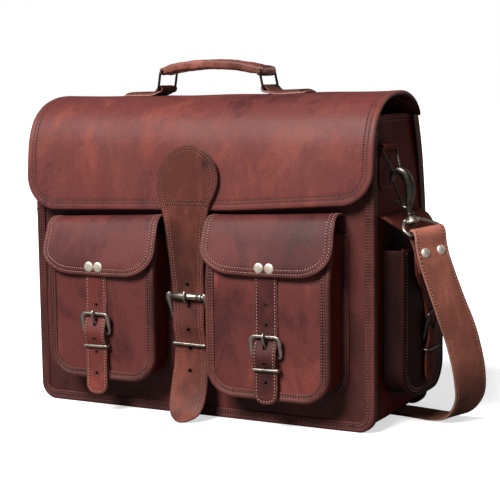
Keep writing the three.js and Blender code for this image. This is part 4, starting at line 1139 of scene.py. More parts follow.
def prong(name, cx, bar, path, body, rep, r=1.5):
    P = catmull([[cx, y, z] for y, z in path], 26)
    m = len(P)
    t = np.linspace(0, 1, m)
    ra = r * (1.0 - 0.12 * t)
    V, F = tube(P, ra * 1.0, ra * 1.15, nrm=(1, 0, 0), k=12, power=2.3)
    # nrm runs along x here, so ra is the half width
    g = Geo().add(V, F, edge=np.full(len(V), 0.55))
    ring = np.array([[cx, bar[0] + 2.75 * math.cos(a), bar[1] + 2.75 * math.sin(a)] for a in np.linspace(0, 2 * math.pi, 22)[:-1]])
    V, F = tube(ring, 2.0, 0.65, closed=True, nrm=(1, 0, 0), k=8, power=3)
    g.add(V, F)
    g.make(name, "antique", body, rep)


prong("centre_prong", TB, (-87.4, 106.4), [[-88.6, 108.8], [-88.2, 114.5], [-91.2, 120.4], [-97.2, 125.4], [-101.6, 129.6], [-102.0, 133.4], [-100.9, 136.8]], "centre_prong", ("centre_prong",), 1.7)


def keeper(name, cx, y0, y1, z, w, body, rep, mat="antique", r=1.25, tilt=0.0, plane="x", xc=0.0):
    if plane == "x":
        pts = [(cx - w / 2, y1, z), (cx + w / 2, y1, z + tilt), (cx + w / 2, y0, z + tilt), (cx - w / 2, y0, z)]
    P = round_path(pts, 2.2, 6)
    P = resample(P, 1.5)
    V, F = tube(P, r * 1.1, r * 0.85, closed=True, nrm=(0, 0, 1), k=12, power=2.4)
    Geo().add(V, F, edge=np.full(len(V), 0.5)).make(name, mat, body, rep)


keeper("centre_keeper", TX - 2.8, -96.4, -85.2, 81.0, 39.6, "flap", ("centre_keeper",), r=1.35, tilt=-0.6)
CH = Fold([[-87.6, 44], [-87.6, 70], [-87.5, 96], [-87.3, 101]], "yz", sign=-1.0, n=40)
panel("centre_chape", [(TX - 20.0, 1), (TX + 14.6, 1), (TB + 17.5, CH.L - 1), (TB - 17.5, CH.L - 1)], CH, ["tongue", "suede"], T=2.6, body="flap", rep=("centre_chape",), grid=5, edge_w=1.6, darks=[(3, 0.6, 0.6)], relief=[(2.3, 0.1), (3, -0.2), (3.8, 0.0)])
loop_y = [(-87.4 + 3.1 * math.cos(a), 106.4 + 3.1 * math.sin(a)) for a in np.linspace(-math.pi * 0.42, math.pi * 1.42, 26)]
for k, (x0, x1) in enumerate(((TB - 17.5, TB - 3.6), (TB + 3.6, TB + 17.5))):
    LP = Fold(loop_y, "yz", sign=1.0, smooth=False)
    panel(f"centre_chape_loop_{k}", [(x0, 0.3), (x1, 0.3), (x1, LP.L - 0.3), (x0, LP.L - 0.3)], LP, ["tongue", "suede"], T=1.5, body="flap", grid=2.5, step=1.2, edge_w=1.2)


# ------------------------------------------------------------- front pockets
def rivet(g, at, axis, r=5.2, h=1.9, sink=0.5):
    prof = [(0.0, -sink), (r * 0.98, -sink), (r, 0.25), (r * 0.97, 0.55), (r * 0.88, 0.95), (r * 0.72, 1.35), (r * 0.5, h * 0.88), (r * 0.26, h * 0.97), (0.0, h)]
    V, F = lathe(prof, at, axis, 28)
    d = np.linalg.norm(V - np.asarray(at), axis=1)
    g.add(V, F, edge=np.clip(d / r, 0, 1) * 0.3)


POCKETS = {
    "left": dict(cx=-99.75, hw=66.25, fx=-101.0, fw=70.8, up=0.0, tilt=3.4, low=0.4, bottom=38, strapX=-103, flapZ=151, rivetZ=160.5, bar=88.7, keeper=74.5, end=22, holes=(118.8, 82.7, 67.7, 44.7)),
    "right": dict(cx=99, hw=69.5, fx=98.4, fw=74.2, up=8.2, tilt=3.0, low=2.0, bottom=33.5, strapX=100.5, flapZ=159.5, rivetZ=169.5, bar=78.7, keeper=65.5, end=30, holes=(131.4, 110.9, 72.4, 52.0)),
}
lean = lambda z: 8.0 * soft(148, 199, z)   # the pocket's top leans back under its flap
for side, P in POCKETS.items():
    x0, x1 = P["cx"] - P["hw"], P["cx"] + P["hw"]
    up = P["up"]
    zb, cx = P["bottom"], P["cx"]

    def f_pocket(u, v, h, cx=cx, zb=zb):
        u, v, h = (np.asarray(a, float) for a in (u, v, h))
        b = 2.2 * np.cos(np.clip((u - cx) / 70, -1, 1) * math.pi / 2) ** 0.8 * np.sin(np.clip((v - zb) / 190, 0, 1) * math.pi) + 0.45 * np.sin(u / 23.0 + v / 29.0 + cx)
        return np.stack([u, -108.7 + lean(v) - b * soft(zb, zb + 25, v) - h, v], -1)

    outl = u_outline(x0 + 1.5, x1 - 1.5, zb + 1.5, 195 + up, 28.5)
    panel(f"pocket_{side}_panel", outl, f_pocket, ["body", "suede"], T=2.6, body="bag", rep=(f"pocket_{side}_panel",), grid=6, step=4)
    # gusset: one strip round three sides that sinks in a little between its two seams
    line = resample(np.array(u_line(x0 + 1.6, x1 - 1.6, zb + 1.6, 197 + up, 28.4)), 4, closed=False)
    GP = Fold(line, "xz", sign=1.0, smooth=False, warp=lambda u, v: -2.6 * np.cos(np.clip((u + 92.0) / 16.5, -1, 1) * math.pi / 2))
    ge = [(-107.5 + float(lean(GP.at(np.array([v]))[0][0][1])), v) for v in np.linspace(1, GP.L - 1, 90)]
    panel(f"pocket_{side}_gusset", ge + [(-76.6, GP.L - 1), (-76.6, 1)], GP, ["gusset", "suede"], T=2.2, body="bag", rep=(f"pocket_{side}_gusset",), grid=4.5, step=4)
    # flange sewn to the body
    fo_ = np.array(u_line(x0 - 7.5, x1 + 7.5, zb - 7.0, 203, 35))
    fi_ = np.array(u_line(x0 + 3.0, x1 - 3.0, zb + 3.0, 203, 26))
    fl = np.vstack([fo_, fi_[::-1]])

    def f_flange(u, v, h):
        p = f_front(u, v, h)
        p[..., 1] -= 2.5
        return p

    panel(f"pocket_{side}_flange", fl, f_flange, ["trim"], T=1.8, body="bag", grid=6, step=4, relief=[(1.3, 0.1), (2.6, 0.1), (3.4, -0.25), (4.2, 0)], darks=[(3.4, 0.6, 0.8)], edge_w=1.4)
    th = Thread()
    th.row(u_line(x0 - 4.1, x1 + 4.1, zb - 3.6, 200, 32), f_flange, 0.72, 3.0)
    th.make(f"pocket_{side}_flange_stitches", "thread_mid", "bag")
    binding(f"pocket_{side}_binding", u_line(x0 - 0.6, x1 + 0.6, zb - 0.6, 193 + up, 30.6), lambda z: -110.0 + float(lean(z)), -1, "trim", "bag", (), face=10.0, side=6.0, rows=(5.6, 8.4), side_rows=(4.3, 4.3), puff=1.0,
            row_mat="thread_mid")

    # lid and flap are one piece of leather that bends at the pocket's top edge
    fz = P["flapZ"]
    path = [[-77.4, 211.5], [-86, 212.2], [-94.5, 211.8], [-101.0, 207.4], [-105.0, 199], [-108.5, 189], [-111.8, 178], [-114.5, 168], [-116.0, 160.5]]
    path = [[y, z + up] for y, z in path] + [[-115.9, fz + P["low"]]]
    fx, fw = P["fx"], P["fw"]
    PF = Fold(path, "yz", sign=1.0, n=260)
    vl = PF.L
    vpv = PF.v_at(206.0 + up)
    PF.warp = lambda u, v, cx=fx, vl=vl, vpv=vpv: (0.9 * np.cos(np.clip((u - cx) / 74, -1, 1) * math.pi / 2) * soft(vpv, vpv + 20, v)
                                                   + 0.35 * np.sin(u / 19.0 + v / 17.0 + cx) * soft(vpv, vpv + 15, v) + 1.2 * soft(vl - 12, vl, v) * (np.abs(u - cx) / 74) ** 2
                                                   - 1.1 * np.cos(np.clip((u - cx) / 74, -1, 1) * math.pi / 2) * (1 - soft(0, vpv, v)) * soft(0, 12, v))

    def f_lid(u, v, h, PF=PF, cx=fx, k=P["tilt"], vpv=vpv):
        """The flap's top edge stands a little higher at its right-hand end."""
        p = np.array(PF(u, v, h), float)
        p[..., 2] += k * (np.asarray(u, float) - cx) / 74 * (1 - soft(vpv + 4, vpv + 50, np.asarray(v, float)))
        return p

    rx, ry = 39.0, 28.0
    hw = lambda v, vl=vl, fw=fw: fw - 1.4 + 1.4 * float(soft(0, vl - ry, v))
    sag = lambda x, cx=fx: 1.6 * math.cos((x - cx) / 74 * math.pi / 2)
    vs = np.linspace(0.5, vl - ry, 22)
    o = [(fx + hw(v), v) for v in vs]
    o += [(fx + fw - rx + rx * math.cos(t), vl - ry + ry * math.sin(t)) for t in np.linspace(0, math.pi / 2, 14)[1:]]
    o += [(x, vl + sag(x) - sag(fx + 36)) for x in np.linspace(fx + fw - rx, fx - fw + rx, 24)[1:-1]]
    o += [(fx - fw + rx - rx * math.sin(t), vl - ry + ry * math.cos(t)) for t in np.linspace(0, math.pi / 2, 14)]
    o += [(fx - hw(v), v) for v in vs[::-1][1:]]
    hinge = ("bag", f"pocket_{side}_flap", (0, -105.0, 208.6 + up * 0.7), (0, -113.6, 197.0 + up * 0.7))
    RP = [(1.5, 0.12), (2.5, 0.05), (3.3, -0.3), (4.1, 0.08), (5.4, 0.14), (6.6, 0.05), (7.4, -0.3), (8.3, 0.0), (9.6, 0.0)]
    panel(f"pocket_{side}_flap", o, f_lid, ["pocketflap", "suede"], T=2.5, rep=(f"pocket_{side}_flap", f"pocket_{side}_lid"), grid=4, step=2.4, r=1.0, relief=RP, edge_w=1.5,
          darks=[(3.3, 0.6, 0.55), (7.4, 0.6, 0.55)], blend=hinge)
    under = lambda z, gap=2.7: float(np.interp(-z, [-q[1] for q in path], [q[0] for q in path])) + gap
    oo = np.array(o)
    if area2(oo) < 0:
        oo = oo[::-1]
    oo = resample(oo, 2.4)
    th = Thread()
    for d in (3.3, 7.4):
        th.row(sub_line(oo, lambda R: R[:, 1] > 4.0, d), f_lid, 1.12, 2.9, 2.1)
    th.make(f"pocket_{side}_flap_stitches", "thread_light", blend=hinge)

    # strap
    body = f"pocket_{side}_flap"
    pk = "pstrap" if side == "left" else "pstrap_r"
    b, k = P["bar"], P["keeper"]
    sp = [[under(fz + q), fz + q] for q in (17.5, 12, 7)] + [[-113.0, fz], [-112.9, b + 40], [-113.4, b + 27], [-114.6, b + 17], [-118.2, b + 7], [-119.8, b], [-118.2, b - 8], [-115.9, k + 2], [-115.3, k - 4], [-115.6, k - 20], [-116.2, P["end"]]]
    PS = Fold(sp, "yz", sign=1.0, n=300)
    sx, tr = P["strapX"], 10.5
    L = PS.L
    xo = [(sx + 13, 0.5), (sx + 13, L - tr)] + [(sx + 13 - tr + tr * math.cos(t), L - tr + tr * math.sin(t)) for t in np.linspace(0, math.pi / 2, 9)[1:]]
    xo += [(sx - 13 + tr - tr * math.sin(t), L - tr + tr * math.cos(t)) for t in np.linspace(0, math.pi / 2, 9)] + [(sx - 13, 0.5)]
    ph = [circle2(sx + 0.4, PS.v_at(z), 1.5, 10) for z in P["holes"] if abs(z - b) > 3]
    slot_ = [(sx - 2.1, PS.v_at(b + 8)), (sx + 2.1, PS.v_at(b + 8)), (sx + 2.1, PS.v_at(b + 15.5)), (sx - 2.1, PS.v_at(b + 15.5))]
    panel(f"pocket_{side}_strap", xo, PS, [pk, "suede"], T=2.4, body=body, rep=(f"pocket_{side}_strap",), grid=3.0, step=2.2, r=0.9, relief=[(1.3, 0.06), (2.0, 0.02), (2.7, -0.25), (3.4, 0.0)],
          edge_w=1.3, darks=[(2.7, 0.5, 0.4)], holes=ph + [slot_])
    xr = np.array(xo)
    if area2(xr) < 0:
        xr = xr[::-1]
    xr = resample(xr, 2.2)
    th = Thread()
    th.row(sub_line(xr, lambda R: R[:, 1] > 4.0, 2.7), PS, 1.12, 3.3, 2.3)
    th.make(f"pocket_{side}_strap_stitches", "thread_light", body)
    g = Geo()
    for dx in (-5.8, 5.8):
        rivet(g, (sx + dx, under(P["rivetZ"], -1.9), P["rivetZ"]), (0, -1, 0), 5.6, 1.5)
        V, F = lathe([(0, 0), (3.6, 0), (3.6, 0.8), (1.4, 1.2), (1.4, 5), (0, 5)], (sx + dx, under(P["rivetZ"], 4.0), P["rivetZ"]), (0, -1, 0), 20)
        g.add(V, F)
    g.make(f"pocket_{side}_rivets", "rivet", body, (f"pocket_{side}_rivets",))
    bot, top = (-114.2, b), (-118.6, b + 21.6)
    g, N = buckle("", sx + 0.6, bot, top, 32.2, body, (), a=1.5, b=2.05, rt=6.0, rb=4.2)
    g.make(f"pocket_{side}_buckle", "antique", body, (f"pocket_{side}_buckle",))
    prong(f"pocket_{side}_prong", sx + 0.4, bot, [[-114.6, b + 2.6], [-114.4, b + 6.6], [-116.6, b + 11.0], [-120.2, b + 15.6], [-122.7, b + 19.8], [-122.8, b + 22.6], [-121.4, b + 24.8]], f"pocket_{side}_prong", (f"pocket_{side}_prong",), 1.35)
    keeper(f"pocket_{side}_keeper", sx + 0.3, -118.4, -111.2, k, 29.4, body, (f"pocket_{side}_keeper",), r=1.4, tilt=0.6)
    CP = Fold([[-112.6, zb + 5], [-112.6, zb + 20], [-112.7, b - 3]], "yz", sign=-1.0, n=30)
    panel(f"pocket_{side}_chape", [(sx - 11.8, 0.5), (sx + 12.6, 0.5), (sx + 12.6, CP.L), (sx - 11.8, CP.L)], CP, [pk, "suede"], T=1.8, body=body, rep=(f"pocket_{side}_chape",), grid=4, edge_w=1.3)
    ly = [(bot[0] + 2.9 * math.cos(a), bot[1] + 2.9 * math.sin(a)) for a in np.linspace(-math.pi * 0.45, math.pi * 1.45, 24)]
    for q, (xa, xb) in enumerate(((sx - 11.8, sx - 3.2), (sx + 3.2, sx + 12.6))):
        LP = Fold(ly, "yz", sign=1.0, smooth=False)
        panel(f"pocket_{side}_chape_loop_{q}", [(xa, 0.3), (xb, 0.3), (xb, LP.L - 0.3), (xa, LP.L - 0.3)], LP, [pk, "suede"], T=1.3, body=body, grid=2.5, step=1.2, edge_w=1.0)

# ---------------------------------------------------------------- the handle
HY, HL, HH = -9.0, 347.6, 367.0
vcr = S_PIV + 0.5 * (S_FR - S_PIV)
vcr = MF.s[int(np.argmin(np.abs(MF.C[:, 0] + 9) + (MF.C[:, 1] < 330) * 99))]
crest = lambda x: float(MF(np.array([x]), np.array([vcr]), np.array([FT / 2]))[0][2])
for side, hx, topx, out in (("left", -71.5, -68.4, -1), ("right", 57.0, 52.8, 1)):
    q = [(hx, HY - 18.2, HL), (hx, HY + 18.2, HL), (topx, HY + 18.2, HH), (topx, HY - 18.2, HH)]
    P = resample(round_path(q, 3.2, 6), 1.6)
    V, F = tube(P, 1.35, 1.35, closed=True, nrm=(1, 0, 0), k=12)
    Geo().add(V, F, edge=np.full(len(V), 0.3)).make(f"handle_ring_{side}", "dark", f"handle_ring_{side}", (f"handle_ring_{side}",))
    TBS = -1.0
    # tab: the strap wraps the ring and is sewn down outwards on the flap
    sgn = out
    base = [(hx + sgn * 48.0, crest(hx + sgn * 48) + 1.2), (hx + sgn * 38, crest(hx + sgn * 38) + 1.1), (hx + sgn * 24, crest(hx + sgn * 24) + 1.1),
            (hx + sgn * 12, crest(hx + sgn * 12) + 1.2), (hx + sgn * 5.4, crest(hx) + 1.8)]
    loop = [(hx + sgn * (-3.3 * math.sin(a)) * -1.0, HL + 3.3 * -math.cos(a)) for a in np.linspace(0.25, math.pi * 2 - 0.55, 18)]
    lp = [(hx + 3.3 * math.cos(t), HL + 3.3 * math.sin(t)) for t in (np.linspace(-math.pi * 0.42, -math.pi * 1.55, 16) if sgn > 0 else np.linspace(-math.pi * 0.58, math.pi * 0.55, 16))]
    tailp = [(hx + sgn * 6.6, crest(hx + sgn * 6) + 4.6), (hx + sgn * 13.0, crest(hx + sgn * 13) + 3.4), (hx + sgn * 24.0, crest(hx + sgn * 24) + 3.2), (hx + sgn * 36.0, crest(hx + sgn * 36) + 3.2), (hx + sgn * 44.0, crest(hx + sgn * 44) + 3.1)]
    pts = catmull(np.array(base + lp + tailp), 220)
    TB = Fold(pts, "xz", sign=1.0 if sgn > 0 else -1.0, smooth=False)
    TB.warp = lambda u, v, TB=TB: -0.0050 * (u - HY) ** 2 * (1 - soft(34, 46, v)) * (1 if TB is None else 1) + 0.0050 * (u - HY) ** 2 * soft(TB.L - 46, TB.L - 34, v) * -TBS
    e = 0.0
    o = [(HY - 16.2, 5), (HY - 13, 0.6), (HY + 13, 0.6), (HY + 16.2, 5), (HY + 16.4, TB.L - 1), (HY - 16.4, TB.L - 1)]
    panel(f"handle_tab_{side}", o, TB, ["grip", "suede"], T=2.0, body="flap", rep=(f"handle_tab_{side}",), grid=3.5, step=2.0, r=0.8, edge_w=1.7, relief=[(1.3, 0.05), (2.4, -0.15), (3.2, 0.0)], darks=[(2.4, 0.5, 0.4)])
    th = Thread()
    oo = np.array(o)
    if area2(oo) < 0:
        oo = oo[::-1]
    oo = resample(oo, 2.0)
    th.row(sub_line(oo, lambda R: R[:, 1] < 38.0, 2.4), TB, -0.98, 3.0, slant=0.1)
    th.make(f"handle_tab_{side}_stitches", "thread_dark", "flap")

# grip: a leather roll, flattened, arched, with a lap seam near its right end
gp = catmull(np.array([[-71.4, 366.6], [-67, 367.6], [-57, 370.0], [-38, 372.6], [-9, 373.9], [20, 372.2], [40, 368.8], [51, 366.4], [56.2, 365.9]]), 110)
t = np.linspace(0, 1, len(gp))
path3 = np.c_[gp[:, 0], np.full(len(gp), HY), gp[:, 1]]
th_ = 5.3 * (0.70 + 0.30 * np.sin(t * math.pi) ** 0.6) + 0.12 * np.sin(t * 37)
wd_ = 14.2 + 1.3 * np.sin(t * math.pi) + 0.2 * np.sin(t * 23 + 1)
V, F = tube(path3, wd_, th_, nrm=(0, 1, 0), k=44, power=4.6, caps=True)
rad = V.copy()
V[:len(gp) * 44, 2] += 0.22 * np.sin(V[:len(gp) * 44, 0] / 5.3 + V[:len(gp) * 44, 1] / 2.7) + 0.15 * np.sin(V[:len(gp) * 44, 0] / 2.1 - V[:len(gp) * 44, 1] / 3.7)
ee = np.clip((np.abs(V[:, 0] + 7.5) - 61.5) / 4.0, 0, 1)
g = Geo().add(V, F, edge=ee * 0.8)
# lapped outer turn at the right end
m0 = int(len(gp) * 0.84)
sub = path3[m0:-3]
V, F = tube(sub, wd_[m0:-3] + 0.9, th_[m0:-3] + 0.95, nrm=(0, 1, 0), k=44, power=4.6, caps=False)
kk = 44
Vi, Fi = tube(sub, wd_[m0:-3] - 0.8, th_[m0:-3] - 0.8, nrm=(0, 1, 0), k=44, power=4.6, caps=False)
nV = len(V)
F2 = list(F) + [tuple(nV + i for i in f[::-1]) for f in Fi]
for q in range(kk):
    w = (q + 1) % kk
    F2.append((w, q, nV + q, nV + w))
    e0 = nV - kk
    F2.append((e0 + q, e0 + w, nV + e0 + w, nV + e0 + q))
VV = np.vstack([V, Vi])
dd = np.clip(1 - (VV[:, 0] - sub[0, 0]) / 2.2, 0, 1)
g.add(VV, F2, edge=dd * 0.6, dark=np.zeros(len(VV)))
g.make("handle_grip", "grip", "handle_grip", ("handle_grip",))
th = Thread()


def f_under(u, v, h):
    z = np.interp(u, gp[:, 0], gp[:, 1])
    return np.stack([u, v, z - 4.7 - h], -1)


th.row([(-64, HY - 1.0), (50, HY - 1.0)], f_under, 0.25, 3.4)
th.make("handle_grip_stitches", "thread_dark", "handle_grip")

# ------------------------------------------------------------- side pockets
def tuck(f, g0):
    """The pocket stands out less towards the bag's front."""
    def g(u, v, h):
        p = f(u, v, h)
        k_ = g0 + (1 - g0) * soft(-60, -20, p[..., 1])
        x = p[..., 0]
        p[..., 0] = np.sign(x) * (203 + (np.abs(x) - 203) * np.where(np.abs(x) > 203, k_, 1))
        return p
    return g


for side, mir in (("right", False), ("left", True)):
    sgn = -1 if mir else 1
    g0 = 0.46 if mir else 0.78
    # front of the pocket, swollen, facing out
    def f_sp(u, v, h, sgn=sgn):
        u, v, h = (np.asarray(a, float) for a in (u, v, h))
        b = 3.0 * np.cos(np.clip((u + 5) / 50, -1, 1) * math.pi / 2) ** 0.7 * np.sin(np.clip((v - 30) / 170, 0, 1) * math.pi)
        return np.stack([sgn * (230.0 + b + h), u, v], -1)
    f_sp = tuck(f_sp, g0)
    panel(f"side_pocket_{side}", u_outline(-53.5, 43.5, 34.5, 186, 26.5), f_sp, ["side", "suede"], T=2.4, body="bag", rep=(f"side_pocket_{side}",), grid=5, step=4)
    line = resample(np.array(u_line(-54.0, 44.0, 34.0, 186, 27)), 4, closed=False)
    s_ = np.r_[0, np.cumsum(np.hypot(*np.diff(line, axis=0).T))]
    Tn = np.gradient(line, axis=0)
    Tn /= np.hypot(*Tn.T)[:, None]
    Nn = np.c_[Tn[:, 1], -Tn[:, 0]]

    def f_spg(u, v, h, sgn=sgn, line=line, s_=s_, Nn=Nn):
        """u is x out from the gusset, v runs round the pocket."""
        u, v, h = (np.asarray(a, float) for a in (u, v, h))
        y, z = np.interp(v, s_, line[:, 0]), np.interp(v, s_, line[:, 1])
        ny, nz = np.interp(v, s_, Nn[:, 0]), np.interp(v, s_, Nn[:, 1])
        hh = h - 2.2 * np.cos(np.clip((u - 216) / 15, -1, 1) * math.pi / 2)
        return np.stack([sgn * u, y + ny * hh, z + nz * hh], -1)
    f_spg = tuck(f_spg, g0)
    panel(f"side_pocket_{side}_gusset", [(202.4, 1), (202.4, s_[-1] - 1), (229.0, s_[-1] - 1), (229.0, 1)], f_spg, ["side", "suede"], T=2.2, body="bag", grid=4.5, step=4)
    # piping round the front
    pl = resample(np.array(u_line(-54.6, 44.6, 33.4, 186, 27.6)), 4, closed=False)
    kp = g0 + (1 - g0) * soft(-60, -20, pl[:, 0])
    V, F = tube(np.c_[sgn * (203 + 27.6 * kp), pl[:, 0], pl[:, 1]], 2.0, 2.0, nrm=(1, 0, 0), k=12)
    Geo().add(V, F, edge=np.full(len(V), 0.25)).make(f"side_pocket_{side}_piping", "side", "bag")
    th = Thread()
    th.row(u_line(-50.6, 40.6, 37.4, 184, 24), f_sp, 1.25, 3.0)
    th.row(u_line(-48.0, 38.0, 40.0, 184, 22), f_sp, 1.25, 3.0)
    th.make(f"side_pocket_{side}_stitches", "thread_mid", "bag")

    # drooping flap that narrows to its strap
    SFP = [[201.6, 219.5], [206, 218.8], [212, 216.6], [219, 211.8], [225.5, 205], [231.6, 195.0], [234.4, 183], [235.0, 165], [235.0, 150], [234.8, 132], [236.4, 118], [238.6, 104], [238.9, 92], [236.4, 78], [235.8, 60], [236.6, 44]]
    SF = Fold(SFP, "xz", sign=-1.0, n=300, mirror=mir)
    SF.warp = lambda u, v: 0.8 * np.sin(u / 13.0 + v / 31.0) * soft(15, 40, v) * (1 - soft(80, 100, v))
    zl = lambda z: SF.v_at(z)
    cyf = -5.0
    rear = [(0, 219.2), (47, 219.2), (46, 213), (39, 205), (33, 195), (31.5, 184), (32, 170), (31, 159), (25.5, 149), (17.5, 139.5), (13.4, 128), (13, 110), (13, 60), (12.6, 52), (9.5, 47), (4.5, 44.4), (0, 44)]
    fr = [(0, 219.2), (58, 219.2), (58, 213), (50, 206.5), (39, 199), (35.5, 190), (35.5, 176), (34, 160), (28, 149), (18.5, 139.5), (13.4, 129), (13, 110), (13, 60), (12.6, 52), (9.5, 47), (4.5, 44.4)]
    ro = [(cyf + y, (SF.v_at(z) if z < 219 else 0.4)) for y, z in rear]
    fo2 = [(cyf - y, (SF.v_at(z) if z < 219 else 0.4)) for y, z in fr]
    o = ro + fo2[::-1][:-1]
    SFt = tuck(SF, g0 if mir else 0.9)
    hinge = ("bag", f"side_flap_{side}", (sgn * 202.5, 0, 218), (sgn * 221, 0, 207))
    panel(f"side_flap_{side}", o, SFt, ["gusset", "suede"], T=2.2, rep=(f"side_flap_{side}",), grid=4, step=2.6, r=0.9, edge_w=1.4, relief=[(1.3, 0.08), (2.4, 0.04), (3.1, -0.25), (3.9, 0.0)], darks=[(3.1, 0.5, 0.5)], blend=hinge,
          holes=[circle2(cyf, SF.v_at(z), 1.6, 10) for z in (136, 74, 60)])
    oo = np.array(o)
    if area2(oo) < 0:
        oo = oo[::-1]
    oo = resample(oo, 2.6)
    th = Thread()
    th.row(sub_line(oo, lambda R: R[:, 1] > 3.0, 3.1), SFt, 0.98, 3.1)
    th.make(f"side_flap_{side}_stitches", "thread_mid", blend=hinge)
    # buckle of the side flap with its tongue and keeper
    bot, top = np.array([234.6, 91.0]), np.array([240.6, 118.5])
    X = np.array([0, 1.0, 0])
    q = [(sgn * bot[0], cyf - 15.8, bot[1]), (sgn * bot[0], cyf + 15.8, bot[1]), (sgn * top[0], cyf + 15.8, top[1]), (sgn * top[0], cyf - 15.8, top[1])]
    P = resample(round_path(q, [3, 3, 5, 5], 7), 1.3)
    Nf = unit(np.cross(X, np.array([sgn * (top[0] - bot[0]), 0, top[1] - bot[1]])))
    V, F = tube(P, 1.3, 1.8, closed=True, nrm=Nf, k=14, power=2.8)
    g = Geo().add(V, F, edge=np.full(len(V), 0.3))
    pp = catmull(np.array([[sgn * 235.4, cyf, 92.5], [sgn * 240.0, cyf, 99], [sgn * 242.6, cyf, 108], [sgn * 243.4, cyf, 115], [sgn * 243.2, cyf, 119.5], [sgn * 242.0, cyf, 122]]), 20)
    V, F = tube(pp, 1.25, 1.3, nrm=(0, 1, 0), k=10)
    g.add(V, F, edge=np.full(len(V), 0.4))
    q = [(sgn * 233.2, cyf - 14.6, 80.0), (sgn * 233.2, cyf + 14.6, 80.0), (sgn * 239.6, cyf + 14.6, 79.0), (sgn * 239.6, cyf - 14.6, 79.0)]
    V, F = tube(resample(round_path(q, 2.0, 6), 1.5), 1.2, 1.1, closed=True, nrm=(0, 0, 1), k=12)
    g.add(V, F, edge=np.full(len(V), 0.8))
    g.make(f"side_buckle_{side}", "dark", f"side_flap_{side}", (f"side_buckle_{side}",))

    # tab that carries the ring: rolled over its bar and sewn to the gusset
    y0, y1 = -63.8, -30.2
    tp = [(sgn * 0 + 203.0, 245.5), (203.2, 262), (203.0, 276), (202.9, 283.5)]
    lp = [(205.9 + 3.1 * math.cos(a), 289.5 + 3.1 * math.sin(a)) for a in np.linspace(math.pi * 1.12, -math.pi * 0.66, 20)]
    tb = catmull(np.array(tp + lp + [(204.9, 283.0), (204.6, 279.5)]), 160)
    ST = Fold(tb, "xz", sign=1.0, smooth=False, mirror=mir)
    o = [(y0 + 8, 0.8), (y1 - 8, 0.8), (y1 - 2.5, 3.5), (y1, 9), (y1, ST.L - 1), (y0, ST.L - 1), (y0, 9), (y0 + 2.5, 3.5)]
    panel(f"side_tab_{side}", o, ST, ["gusset"], T=1.9, body="bag", rep=(f"side_tab_{side}",), grid=3.2, step=2, r=0.8, edge_w=1.6, relief=[(1.2, 0.05), (2.4, -0.2), (3.2, 0)], darks=[(2.4, 0.5, 0.5)])
    th = Thread()
    th.row([(y0 + 2.6, 34), (y0 + 2.6, 9), (y0 + 8, 3.2), (y1 - 8, 3.2), (y1 - 2.6, 9), (y1 - 2.6, 34)], ST, 0.9, 3.0)
    th.make(f"side_tab_{side}_stitches", "thread_mid", "bag")

